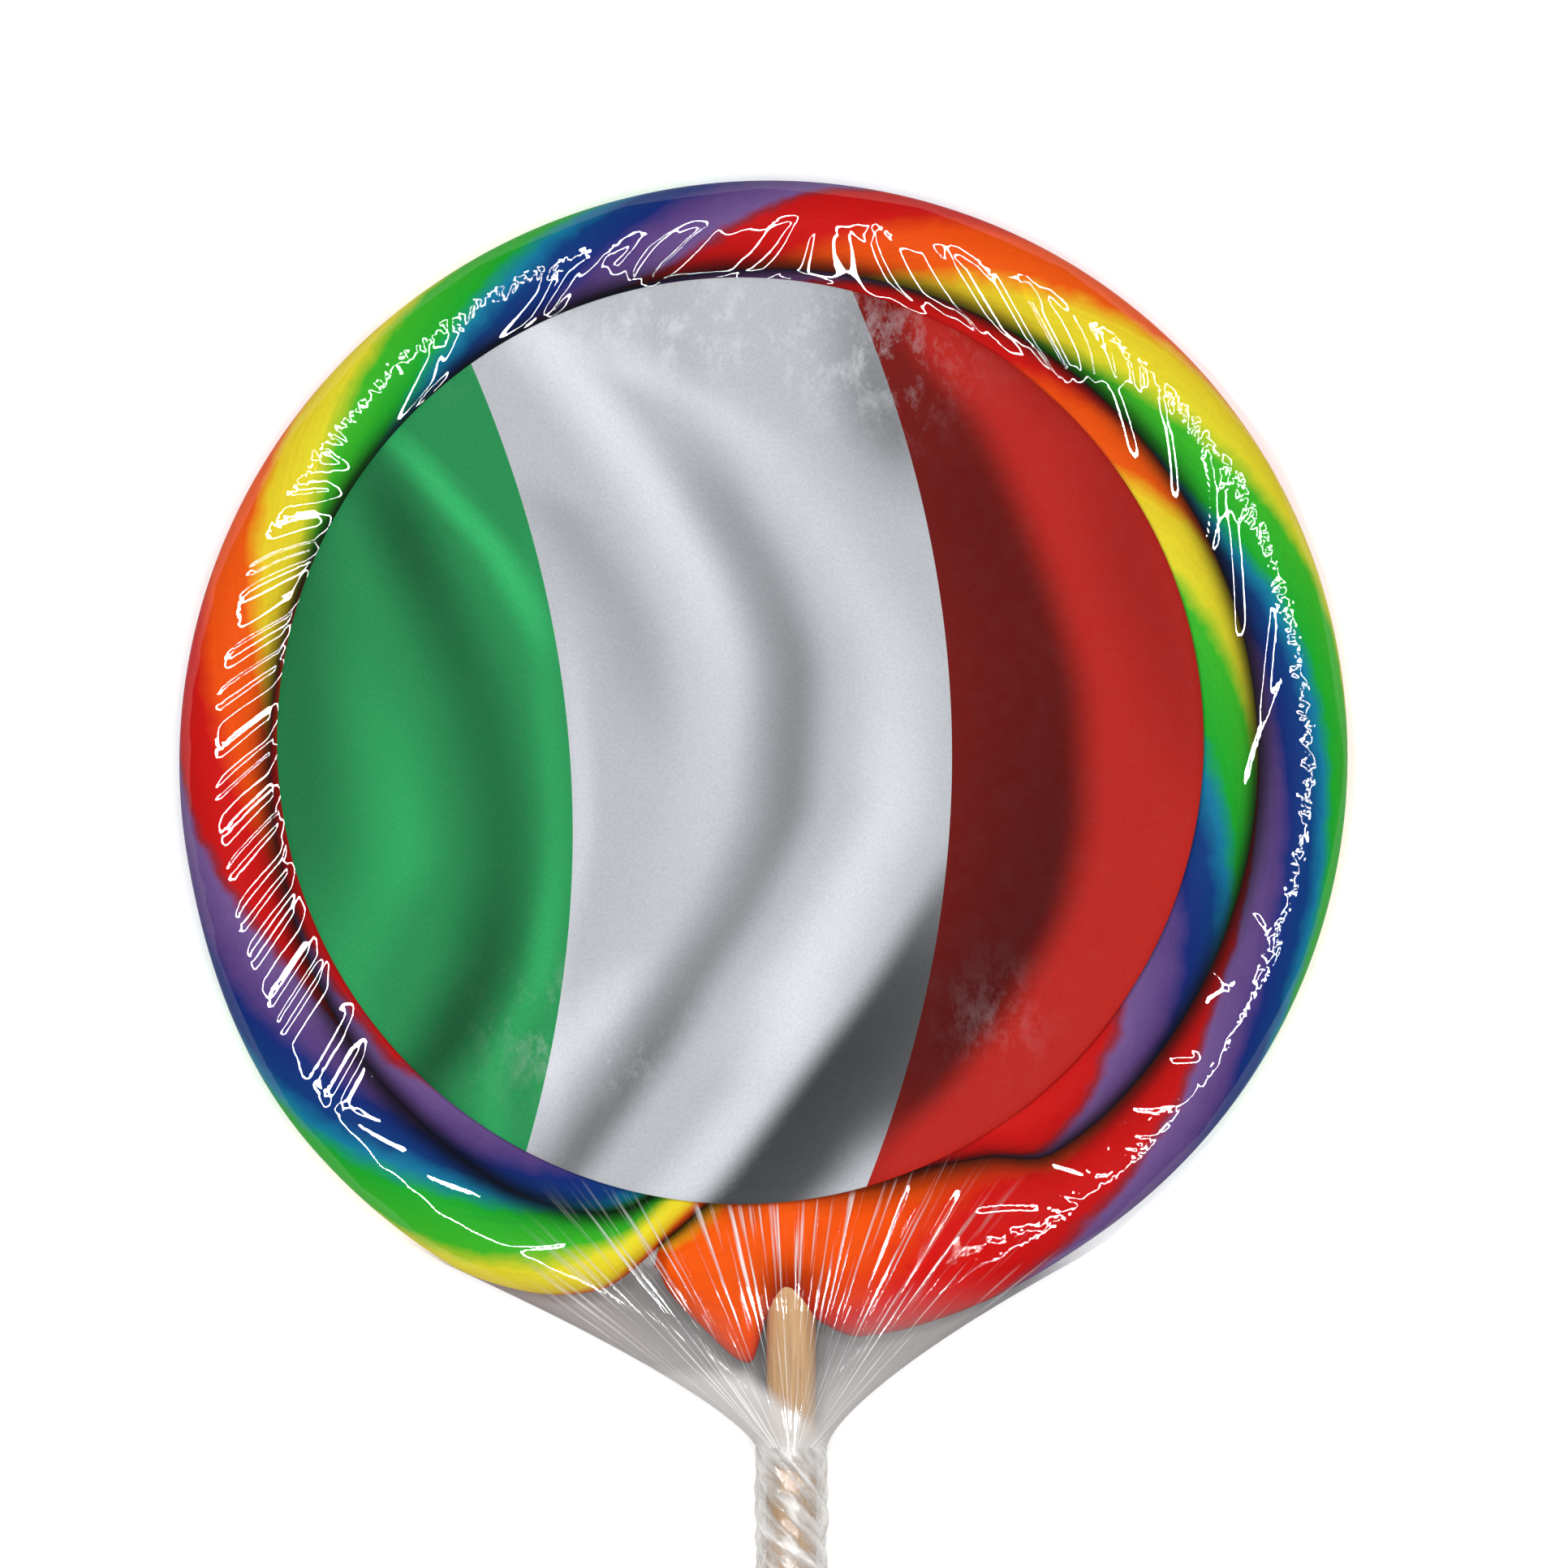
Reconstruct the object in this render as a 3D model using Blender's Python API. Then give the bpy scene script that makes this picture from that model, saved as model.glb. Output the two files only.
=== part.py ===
"""Swirl lollipop: a coiled rope of twisted hard candy on a wooden stick, in a clear wrap with a round label.

Metres, +Z up. The lollipop lies on its back with the shown side up. The origin is under the middle
of the candy disc, on the surface that it lies on, and the stick points to -Y.
"Clock" is an angle in degrees, clockwise from the stick as seen from above.
"""

import math

import bmesh
import bpy
import numpy as np

# Candy disc
DISC_RADIUS = 0.0763
LEVELS = 6.5  # rope widths between the disc's centre and its edge
ROPE_PITCH = DISC_RADIUS / LEVELS
TURNS = 7
ROPE_HALF_HEIGHT = 0.0058
FRONT_GROOVE_HEIGHT = 0.0026  # above the middle plane
BACK_GROOVE_HEIGHT = 0.0034  # below the middle plane
STICK_COVER = 0.0010  # candy over the stick in the grooves that cross it
COLOURS_PER_DEGREE = 0.0475  # how fast the rope's twist changes the colour at its outer edge
END_COLOUR = 24.6  # colour number at the outer edge of the rope's end, red being every sixth
COLOURS_ACROSS = 2  # colours between the rope's outer and inner edges

# The rope shifts outwards where it passes under its own thick end: clock angle, outer edge radius.
UNDER_END = (
    (-44, 0.0646),
    (-36, 0.0641),
    (-29, 0.0598),
    (-20, 0.0575),
    (0, 0.0560),
    (5, 0.0572),
    (10.6, 0.0633),
    (17, 0.0728),
    (24, 0.0764),
    (32, 0.0779),
    (50, 0.0779),
    (80, 0.0763),
)
SHIFT_START = -5
SHIFT_END = 22
DENT_FADE = 2  # power of the radius by which the dent under the thick end dies away inwards
EVEN_TURNS = 1  # inner turns that open evenly, before the coil's turns become rings with a shift
RINGED_TURNS = 5.5
FULL_WIDTH_SHARE = 0.63  # rope width, as a share of the pitch, from which its section is fully round
# The thick end wraps over the stick and closes in a flap beside it: clock angle, edge radius.
END_EDGE = (
    (-60, 0.0763),
    (-32, 0.0774),
    (-13, 0.0771),
    (-9.6, 0.0768),
    (-6, 0.0744),
    (-2.4, 0.0702),
    (-0.6, 0.0724),
    (1.2, 0.0792),
    (6, 0.0750),
    (10.2, 0.0706),
    (12, 0.0681),
)
END_CLOCK = 12
FINE_START = -15
FINE_COLUMNS = 15
SHIFT_COLUMNS = 6
SHIFT_COLUMNS_END = 36
PLAIN_COLUMNS = 36
FRONT_STEPS = 6
BACK_STEPS = 4

# Stick
STICK_DIAMETER = 0.0065
STICK_X = 0.0037
STICK_INNER_END = -0.045
STICK_OUTER_END = -0.220
STICK_CHAMFER = 0.0004
STICK_SIDES = 24

# Wrap
CLEARANCE = 0.0003
FILM_WALL = 0.0003
TAIL_WALL = 0.0012
TAIL_RADIUS = 0.0048
NECK_Y = -0.0898
TAIL_END_Y = -0.140
TAIL_PLEATS = 4
TAIL_PLEAT_DEPTH = 0.0003
TAIL_PLEAT_RUN_IN = 0.006
TAIL_TWIST_LENGTH = 0.031
TAIL_FLARE = 0.0008
TAIL_FLARE_LENGTH = 0.010
TAIL_RINGS = 20
FUNNEL_CLOCK = 32
FUNNEL_STATIONS = 7
FUNNEL_POWER = 1.32
DISC_STATIONS = 54
ROUND_STEPS = 8  # faces round the wrap's edge, from the front sheet to the back sheet

# Label
LABEL_DIAMETER = 0.120
LABEL_THICKNESS = 0.0003
LABEL_X = -0.0029
LABEL_Y = 0.0020
LABEL_SIDES = 72

MERGE_DISTANCE = 1e-6
SHARP_EDGE_DEGREES = 50
MIDDLE_Z = ROPE_HALF_HEIGHT + CLEARANCE + FILM_WALL
FRONT_Z = 2 * MIDDLE_Z

RAINBOW = (
    ("red", (0.48, 0.005, 0.004)),
    ("orange", (0.80, 0.085, 0.004)),
    ("yellow", (0.68, 0.56, 0.045)),
    ("green", (0.03, 0.37, 0.025)),
    ("blue", (0.006, 0.075, 0.28)),
    ("violet", (0.20, 0.12, 0.36)),
)


def smooth_step(x):
    x = min(max(x, 0.0), 1.0)
    return x * x * (3 - 2 * x)


def through(knots, x):
    """A smooth curve through knots of (place, value), level at its turning points and beyond its ends."""
    places, values = np.array(knots, float).T
    secants = np.diff(values) / np.diff(places)
    slopes = np.zeros(len(knots))
    for k in range(1, len(knots) - 1):
        if secants[k - 1] * secants[k] > 0:
            slopes[k] = 2 / (1 / secants[k - 1] + 1 / secants[k])
    if x <= places[0]:
        return float(values[0])
    if x >= places[-1]:
        return float(values[-1])
    k = int(np.searchsorted(places, x)) - 1
    step = places[k + 1] - places[k]
    s = (x - places[k]) / step
    bend = slopes[k] * (1 - s) - slopes[k + 1] * s
    lean = (values[k + 1] - values[k]) * (1 - 2 * s)
    return float(values[k] + (values[k + 1] - values[k]) * s + s * (1 - s) * (step * bend - lean))


def at_clock(radius, clock, z):
    angle = math.radians(clock)
    return (-radius * math.sin(angle), -radius * math.cos(angle), z)


def level_radius(level):
    return ROPE_PITCH * (level + 0.5)


def shifted_edge(level, clock):
    """Outer edge of the rope near the stick, where it moves from one level of the coil to the next."""
    last = level_radius(TURNS - 2)
    shift = ROPE_PITCH * smooth_step((clock - SHIFT_START) / (SHIFT_END - SHIFT_START))
    dent = through(UNDER_END, clock) - last - shift
    radius = level_radius(level)
    return radius + shift + dent * (max(radius, 0) / last) ** DENT_FADE


def edge_radius(turn, clock):
    """Outer edge of the rope in a turn, for a clock angle from END_CLOCK to END_CLOCK + 360."""
    past = clock > 180
    if turn == TURNS - 1 and past:
        return through(END_EDGE, clock - 360)
    along = turn + (clock - END_CLOCK) / 360
    even = ROPE_PITCH * along
    stepped = shifted_edge(turn, clock - 360) if past else shifted_edge(turn - 1, clock)
    return even + (stepped - even) * smooth_step((along - EVEN_TURNS) / (RINGED_TURNS - EVEN_TURNS))


def column_clocks():
    """Clock angles of one turn's cross-sections, closest together round the rope's end."""
    shift = np.linspace(END_CLOCK, SHIFT_COLUMNS_END, SHIFT_COLUMNS, endpoint=False)
    plain = np.linspace(SHIFT_COLUMNS_END, 360 + FINE_START, PLAIN_COLUMNS, endpoint=False)
    fine = np.linspace(360 + FINE_START, 360 + END_CLOCK, FINE_COLUMNS, endpoint=False)
    return np.concatenate((shift, plain, fine))


def groove_height(radius, clock, back):
    """Height of a groove over the middle plane: it runs higher where the stick lies under it."""
    plain = BACK_GROOVE_HEIGHT if back else FRONT_GROOVE_HEIGHT
    x, y, _ = at_clock(radius, clock, 0)
    beside = smooth_step(2 - abs(x - STICK_X) / STICK_DIAMETER)
    inwards = smooth_step((STICK_INNER_END + STICK_DIAMETER - y) / STICK_DIAMETER)
    covering = STICK_DIAMETER / 2 + CLEARANCE + STICK_COVER
    return plain + (covering - plain) * beside * inwards


def rope_height(across, inner, outer, fullness):
    """Height of the rope's skin over the middle plane, from -1 at its inner edge to 1 at its outer edge."""
    edge = outer if across > 0 else inner
    sunk = 1 - (edge / ROPE_HALF_HEIGHT) ** 2
    round_height = ROPE_HALF_HEIGHT * math.sqrt(1 - sunk * across * across)
    chord = inner + (outer - inner) * (across + 1) / 2
    return chord + fullness * (round_height - chord)


def across_places(steps):
    return [math.sin(math.pi * (k / steps - 0.5)) for k in range(1, steps)]


class RopeMesh:
    """The coil as one closed skin: neighbouring turns share the points of the groove between them."""

    def __init__(self):
        self.points = []
        self.faces = []
        self.colours = []
        self.clocks = column_clocks()
        self.count = len(self.clocks)
        self.end = TURNS * self.count
        self.free_from = (TURNS - 1) * self.count
        self.edges = {}

    def add(self, point):
        self.points.append(point)
        return len(self.points) - 1

    def place(self, i):
        """Turn, clock angle and edge radius of the rope's cross-section i."""
        turn, column = divmod(i, self.count)
        if i == self.end:
            turn, column = TURNS - 1, self.count
        clock = self.clocks[column] if column < self.count else END_CLOCK + 360
        radius = edge_radius(turn, clock) if i > 0 else 0.0
        return turn, clock, radius

    def edge_height(self, i, back):
        if i > self.free_from:
            return 0.0
        _, clock, radius = self.place(max(i, 0))
        return groove_height(radius, clock, back)

    def edge(self, i, back):
        """Point on the rope's outer edge: front and back grooves, or one rim point where the edge is free."""
        i = max(i, 0)
        key = (i, False if i > self.free_from else back)
        if key not in self.edges:
            _, clock, radius = self.place(i)
            height = self.edge_height(i, back)
            z = MIDDLE_Z - height if back else MIDDLE_Z + height
            self.edges[key] = self.add(at_clock(radius, clock, z))
        return self.edges[key]

    def section(self, i, back):
        """Points across the rope, from its inner edge to its outer edge, on the front or on the back."""
        steps = BACK_STEPS if back else FRONT_STEPS
        first = self.edge(i - self.count, back)
        last = self.edge(i, back)
        if i == 0:
            return [first] * (steps + 1)
        _, clock, outer = self.place(i)
        inner = self.place(max(i - self.count, 0))[2]
        heights = self.edge_height(i - self.count, back), self.edge_height(i, back)
        fullness = smooth_step((outer - inner) / (FULL_WIDTH_SHARE * ROPE_PITCH))
        row = [first]
        for across in across_places(steps):
            radius = inner + (outer - inner) * (across + 1) / 2
            height = rope_height(across, *heights, fullness)
            row.append(self.add(at_clock(radius, clock, MIDDLE_Z + (-height if back else height))))
        return row + [last]

    def face(self, corners, colour):
        corners = [c for k, c in enumerate(corners) if c != corners[k - 1]]
        if len(set(corners)) > 2:
            self.faces.append(corners)
            self.colours.append(colour)

    def edge_colour(self, i):
        """Colour number at the rope's outer edge."""
        turn, clock, _ = self.place(i)
        degrees_to_end = (TURNS - 1 - turn) * 360 + END_CLOCK + 360 - clock
        return END_COLOUR - COLOURS_PER_DEGREE * degrees_to_end

    def strip(self, row, next_row, edge_colour, back):
        steps = len(row) - 1
        for k in range(steps):
            inwards = COLOURS_ACROSS * (1 - (k + 0.5) / steps)
            colour = round(edge_colour + (-inwards if back else inwards)) % len(RAINBOW)
            self.face((row[k], row[k + 1], next_row[k + 1], next_row[k]), colour)

    def build(self):
        rows = self.section(0, False), self.section(0, True)
        for i in range(1, self.end + 1):
            next_rows = self.section(i, False), self.section(i, True)
            self.strip(rows[0], next_rows[0], self.edge_colour(i), False)
            self.strip(rows[1], next_rows[1], self.edge_colour(i), True)
            if i == self.free_from:
                shared = next_rows
            rows = next_rows
        self.close_end(shared, rows)
        return self.points, self.faces, self.colours

    def close_end(self, shared, rows):
        """Closes the flap's tip, and the corner where the turn under it comes free."""
        colour = round(self.edge_colour(self.end)) % len(RAINBOW)
        front, back = rows
        self.face(front + back[-2::-1], colour)
        self.face((shared[0][-1], shared[1][-1], self.edge(self.free_from + 1, False)), colour)


def material(name, colour, roughness, transmission=0.0, alpha=1.0):
    made = bpy.data.materials.new(name)
    made.use_nodes = True
    shader = made.node_tree.nodes["Principled BSDF"]
    shader.inputs["Base Color"].default_value = (*colour, 1)
    shader.inputs["Roughness"].default_value = roughness
    shader.inputs["Metallic"].default_value = 0
    shader.inputs["Transmission Weight"].default_value = transmission
    shader.inputs["Alpha"].default_value = alpha
    return made


def add_object(name, mesh, *materials):
    made = bpy.data.objects.new(name, mesh)
    for item in materials:
        mesh.materials.append(item)
    bpy.context.scene.collection.objects.link(made)
    return made


def mesh_from(name, points, faces, merge=0.0):
    """A mesh with its faces pointing out, and points closer than merge made one."""
    shape = bmesh.new()
    corners = [shape.verts.new(point) for point in points]
    for face in faces:
        shape.faces.new([corners[k] for k in face])
    if merge:
        bmesh.ops.remove_doubles(shape, verts=shape.verts, dist=merge)
    bmesh.ops.recalc_face_normals(shape, faces=shape.faces)
    mesh = bpy.data.meshes.new(name)
    shape.to_mesh(mesh)
    shape.free()
    return mesh


def shade_round(mesh):
    mesh.shade_smooth()
    mesh.set_sharp_from_angle(angle=math.radians(SHARP_EDGE_DEGREES))


def along_stick(name, radius, start_y, end_y, sides):
    """A cylinder on the stick's axis."""
    shape = bmesh.new()
    bmesh.ops.create_cone(
        shape, cap_ends=True, segments=sides, radius1=radius, radius2=radius, depth=abs(end_y - start_y)
    )
    mesh = bpy.data.meshes.new(name)
    shape.to_mesh(mesh)
    shape.free()
    made = add_object(name, mesh)
    made.location = (STICK_X, (start_y + end_y) / 2, MIDDLE_Z)
    made.rotation_euler = (math.pi / 2, 0, 0)
    return made


def make_candy():
    points, faces, colours = RopeMesh().build()
    mesh = mesh_from("candy_swirl", points, faces)
    candy = add_object("candy_swirl", mesh, *(material(name, colour, 0.12) for name, colour in RAINBOW))
    for polygon, colour in zip(mesh.polygons, colours):
        polygon.material_index = colour
    shade_round(mesh)
    socket = along_stick(
        "stick_socket", STICK_DIAMETER / 2 + CLEARANCE, STICK_INNER_END + CLEARANCE, TAIL_END_Y, STICK_SIDES
    )
    socket.hide_render = True
    socket.display_type = "WIRE"
    cut = candy.modifiers.new("Stick socket", "BOOLEAN")
    cut.operation = "DIFFERENCE"
    cut.object = socket
    return candy


def make_stick():
    stick = along_stick("stick", STICK_DIAMETER / 2, STICK_INNER_END, STICK_OUTER_END, STICK_SIDES)
    stick.data.materials.append(material("birch_wood", (0.55, 0.33, 0.14), 0.6))
    ends = stick.modifiers.new("Eased ends", "BEVEL")
    ends.width = STICK_CHAMFER
    ends.segments = 1
    ends.limit_method = "ANGLE"
    ends.angle_limit = math.radians(60)
    shade_round(stick.data)
    return stick


def wall_inside(s, inner):
    """How far a skin of the film lies inside its outer skin, from the disc (0) to the neck (1)."""
    return FILM_WALL + (TAIL_WALL - FILM_WALL) * s if inner else 0.0


def wrap_edge(clock):
    """Outline radius of the wrap's outer skin over the disc."""
    return edge_radius(TURNS - 1, clock) + CLEARANCE + FILM_WALL


def wrap_half_height(s, inner):
    """Half the thickness of the wrapped pack, from the disc (0) to the neck (1)."""
    return MIDDLE_Z + (TAIL_RADIUS - MIDDLE_Z) * s - wall_inside(s, inner)


def wrap_station(outline, inward, half_height):
    """Points round the wrap's edge at one place of its outline, from the front sheet to the back sheet."""
    points = []
    for k in range(ROUND_STEPS + 1):
        lean = math.pi * (0.5 - k / ROUND_STEPS)
        depth = half_height * (1 - math.cos(lean))
        x = outline[0] + inward[0] * depth
        y = outline[1] + inward[1] * depth
        points.append((x, y, MIDDLE_Z + half_height * math.sin(lean)))
    return points


def disc_station(clock, inner):
    radius = wrap_edge(clock) - wall_inside(0, inner)
    outline = at_clock(radius, clock, 0)
    inward = (-outline[0] / radius, -outline[1] / radius)
    return wrap_station(outline, inward, wrap_half_height(0, inner))


def funnel_station(s, side, inner):
    """Station on the funnel between the disc and the neck, on the left (-1) or right (1) side."""
    clock = FUNNEL_CLOCK if side < 0 else 360 - FUNNEL_CLOCK
    start_x, start_y, _ = at_clock(wrap_edge(clock), clock, 0)
    width = TAIL_RADIUS + (abs(start_x) - TAIL_RADIUS) * (1 - s) ** FUNNEL_POWER
    x = STICK_X * s + side * (width - wall_inside(s, inner))
    y = start_y + (NECK_Y - start_y) * s
    return wrap_station((x, y), (-side, 0), wrap_half_height(s, inner))


def tail_ring(y, inner):
    """Points round the twisted tail, starting at the top and going over the right side."""
    twist = 2 * math.pi * (y - NECK_Y) / TAIL_TWIST_LENGTH
    pleat_depth = TAIL_PLEAT_DEPTH * smooth_step((NECK_Y - y) / TAIL_PLEAT_RUN_IN)
    flare = TAIL_FLARE * smooth_step(1 - (y - TAIL_END_Y) / TAIL_FLARE_LENGTH)
    ring = []
    for k in range(2 * ROUND_STEPS):
        angle = math.pi / 2 - math.pi * k / ROUND_STEPS
        pleat = pleat_depth * math.cos(TAIL_PLEATS * (angle - twist))
        radius = TAIL_RADIUS - TAIL_WALL if inner else TAIL_RADIUS + pleat + flare
        ring.append((STICK_X + radius * math.cos(angle), y, MIDDLE_Z + radius * math.sin(angle)))
    return ring


class SheetMesh:
    """Collects rows of points and the faces between them."""

    def __init__(self):
        self.points = []
        self.faces = []

    def row(self, points):
        start = len(self.points)
        self.points.extend(points)
        return list(range(start, len(self.points)))

    def join(self, row, next_row):
        for a, b, c, d in zip(row, row[1:], next_row[1:], next_row):
            self.faces.append((a, b, c, d))

    def join_ring(self, ring, next_ring):
        self.join(ring + ring[:1], next_ring + next_ring[:1])


def close_face(sheet, disc, left, right, k, z):
    """The flat sheet between the left and right stations: a fan over the disc, then strips to the neck."""
    centre = sheet.row([(0, 0, z)])[0]
    rim = [row[k] for row in disc]
    sheet.faces.extend((centre, a, b) for a, b in zip(rim, rim[1:] + rim[:1]))
    left_edge = [disc[0][k]] + [row[k] for row in left]
    right_edge = [disc[-1][k]] + [row[k] for row in right]
    sheet.join(left_edge[:-1], right_edge[:-1])
    sheet.faces.append((left_edge[-2], left_edge[-1], right_edge[-2]))


def wrap_skin(sheet, inner):
    """The film's inner or outer skin, from the disc down to the end of the tail. Returns its last ring."""
    shares = [k / FUNNEL_STATIONS for k in range(1, FUNNEL_STATIONS + 1)]
    clocks = np.linspace(FUNNEL_CLOCK, 360 - FUNNEL_CLOCK, DISC_STATIONS)
    left = [sheet.row(funnel_station(s, -1, inner)) for s in shares]
    right = [sheet.row(funnel_station(s, 1, inner)) for s in shares]
    disc = [sheet.row(disc_station(clock, inner)) for clock in clocks]
    around = left[::-1] + disc + right
    for row, next_row in zip(around, around[1:]):
        sheet.join(row, next_row)
    wall = wall_inside(0, inner)
    close_face(sheet, disc, left, right, 0, FRONT_Z - wall)
    close_face(sheet, disc, left, right, ROUND_STEPS, wall)
    ring = right[-1] + left[-1][-2:0:-1]
    rings = 1 if inner else TAIL_RINGS
    for k in range(1, rings + 1):
        next_ring = sheet.row(tail_ring(NECK_Y + (TAIL_END_Y - NECK_Y) * k / rings, inner))
        sheet.join_ring(ring, next_ring)
        ring = next_ring
    return ring


def make_wrap():
    sheet = SheetMesh()
    outer_end = wrap_skin(sheet, False)
    inner_end = wrap_skin(sheet, True)
    sheet.join_ring(outer_end, inner_end)
    mesh = mesh_from("film_wrap", sheet.points, sheet.faces, MERGE_DISTANCE)
    shade_round(mesh)
    return add_object("film_wrap", mesh, material("clear_film", (0.9, 0.9, 0.9), 0.05, 0.9, 0.2))


def make_label():
    shape = bmesh.new()
    radius = LABEL_DIAMETER / 2
    bmesh.ops.create_cone(
        shape, cap_ends=True, segments=LABEL_SIDES, radius1=radius, radius2=radius, depth=LABEL_THICKNESS
    )
    mesh = bpy.data.meshes.new("label")
    shape.to_mesh(mesh)
    shape.free()
    label = add_object("label", mesh, material("coated_paper", (0.75, 0.76, 0.77), 0.4))
    label.location = (LABEL_X, LABEL_Y, FRONT_Z + CLEARANCE + LABEL_THICKNESS / 2)
    shade_round(mesh)
    return label


def main():
    for existing in list(bpy.data.objects):
        bpy.data.objects.remove(existing)
    make_candy()
    make_stick()
    make_wrap()
    make_label()


main()
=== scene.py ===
"""Looks of the swirl lollipop: twisted candy rope, clear wrinkled wrap, printed label and wooden stick.

Metres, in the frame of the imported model: +Z up out of the shown side, and the stick points to -Y.
"Clock" is an angle in degrees, clockwise from the stick as seen from above.
"""

import math

import bmesh
import bpy
import numpy as np
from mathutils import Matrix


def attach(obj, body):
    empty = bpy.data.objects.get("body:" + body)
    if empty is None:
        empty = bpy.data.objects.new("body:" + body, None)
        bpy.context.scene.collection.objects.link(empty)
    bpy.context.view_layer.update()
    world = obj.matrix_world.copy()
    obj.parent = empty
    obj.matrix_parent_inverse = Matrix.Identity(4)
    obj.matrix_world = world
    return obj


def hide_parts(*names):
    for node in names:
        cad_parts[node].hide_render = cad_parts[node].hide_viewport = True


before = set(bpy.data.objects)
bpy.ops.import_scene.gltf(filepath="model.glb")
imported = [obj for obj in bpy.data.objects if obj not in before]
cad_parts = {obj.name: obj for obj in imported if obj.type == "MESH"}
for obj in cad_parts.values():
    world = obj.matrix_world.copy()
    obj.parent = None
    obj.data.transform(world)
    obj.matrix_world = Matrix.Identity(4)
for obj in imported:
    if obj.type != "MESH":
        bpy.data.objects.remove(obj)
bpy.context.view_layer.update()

# Camera: straight above, framed as the photo is
IMAGE_PIXELS = 1932
PIXEL = 0.0001059  # size of one pixel of the photo at the middle of the candy
DISC_CENTRE_PIXEL = (940, 932)
CAMERA_DISTANCE = 0.9
SENSOR = 36.0  # millimetres

# Candy rope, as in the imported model
DISC_RADIUS = 0.0763
LEVELS = 6.5
ROPE_PITCH = DISC_RADIUS / LEVELS
TURNS = 7
ROPE_HALF_HEIGHT = 0.0058
FRONT_GROOVE_HEIGHT = 0.0004
BACK_GROOVE_HEIGHT = 0.0030
STICK_COVER = 0.0010  # candy over the stick
GROOVE_SHADE_START = 0.58  # share of the half width where the painted shade on a groove's flank starts
PAINTED_GROOVE_LIGHT = 0.26  # share of the colour left at the bottom of a groove under the painted shade
# Painted shade in the mouth that the stick goes into: its middle, half widths and strength
MOUTH_Y = -0.0685
MOUTH_HALF_WIDTH = 0.0055
MOUTH_HALF_LENGTH = 0.0035
MOUTH_SHADE = 0.65
# Clock angle and radius of the rope's edge in the turn that runs under the rope's end
UNDER_END = (
    (-44, 0.0646), (-36, 0.0641), (-29, 0.0598), (-20, 0.0575), (0, 0.0560), (5, 0.0572),
    (10.6, 0.0633), (17, 0.0728), (24, 0.0764), (32, 0.0779), (50, 0.0779), (80, 0.0763),
)
# Clock angles between which the rope moves from one level of the coil to the next
SHIFT_START = -5
SHIFT_END = 22
DENT_FADE = 2  # power by which the dent under the rope's end fades towards the centre
# The coil winds evenly up to the first of these turns, and in level rings from the second on
EVEN_TURNS = 1
RINGED_TURNS = 5.5
FULL_WIDTH_SHARE = 0.63  # share of the pitch from which the rope is fully round
# Clock angle and radius of the outer edge of the rope's end
END_EDGE = (
    (-60, 0.0763), (-34, 0.0762), (-22, 0.0768), (-13, 0.0770), (-9.6, 0.0768), (-6, 0.0744),
    (-2.4, 0.0702), (-0.6, 0.0724), (1.2, 0.0792), (6, 0.0750), (10.2, 0.0706), (12, 0.0681),
)
END_CLOCK = 12
FLAT_CLOCK = 160  # where the disc's rim is pressed in most
FLAT_DEPTH = 0.0013
# Clock angles of one turn's cross-sections: to which angle, how many
ROPE_COLUMNS = ((36, 40), (345, 206), (372, 68))
FRONT_STEPS = 16  # steps across the rope
BACK_STEPS = 10
MERGE_DISTANCE = 2e-6
SHARP_ANGLE = 50  # degrees

# Stripes: colour number at the rope's outer edge by winding angle (the clock angle in the outer turn)
EDGE_COLOURS = (
    (-309, -7.25), (-266, -5.9), (-221, -3.8), (-197, -2.0), (-165, -0.85), (-146, -0.45),
    (-113, 1.3), (-87, 2.35), (-52, 4.25), (24, 7.5), (53, 9.1), (87, 11.1), (122, 13.1),
    (160, 15.1), (188, 17.1), (203, 18.1), (252, 20.0), (294, 21.0), (310, 22.1), (329, 23.1),
    (345, 23.8), (372, 24.5),
)
COLOURS_PER_DEGREE = 0.0475  # further in
COLOURS = 6  # the stripes come round again after this many
COLOUR_SHIFT = 0.5  # a whole colour number lies in the middle of its stripe
POSITIVE_ROUNDS = 10  # added, so that the scale of colours starts over 0
# Colours for each degree round the rope's section, by winding angle
COLOURS_AROUND = ((235, 0.0125), (262, 0.0168), (292, 0.018), (318, 0.0125), (342, 0.0075))

# Stick
STICK_DIAMETER = 0.0065
STICK_X = 0.0037
STICK_INNER_END = -0.045

# Wrap
CLEARANCE = 0.0003
FILM_WALL = 0.0003
MIDDLE_Z = ROPE_HALF_HEIGHT + CLEARANCE + FILM_WALL
FILM_GAP = 0.00015  # between the candy's rim and the taut film
TAIL_RADIUS = 0.0048
NECK_Y = -0.0898
TAIL_END_Y = -0.140
TAIL_TWIST_LENGTH = 0.031
TAIL_ROWS = 240
TAIL_COLUMNS = 200
TAIL_OVERLAP = 0.0012  # how far the twisted sheets reach up past the neck
TAIL_FOLDS_START = 0.004  # the folds have their full depth this far below the neck
FLARE_START = 0.040  # below the neck
FLARE_LENGTH = 0.010
FLARE_WIDTH = 0.0006
FUNNEL_CLOCK = 32  # degrees to each side of the stick where the funnel leaves the disc
FUNNEL_POWER = 1.32
FUNNEL_START_Y = -0.066
SIDES_Y = -0.035  # below this, distances from the outline count the funnel's sides too
SIDES_BLEND = 0.010
DISC_COLUMNS = 1500
FUNNEL_COLUMNS = 130
NECK_COLUMNS = 120
FILM_ROWS = 46
RIM_ROWS = 13
FILM_START = 0.0585  # distance from the label's centre where the fine film starts, under the label
MIDDLE_ROWS = (0.0, 0.4, 0.8)  # rows of plain film inside that, as shares of it
FILM_AT_LABEL = 0.01262
FILM_AT_CREST = 0.01250
FILM_AT_NECK = MIDDLE_Z + TAIL_RADIUS
FILM_SAG = 0.00005
SAG_UNEVEN = 0.28
TAUT_Y = -0.045  # below this the film sags less
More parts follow.
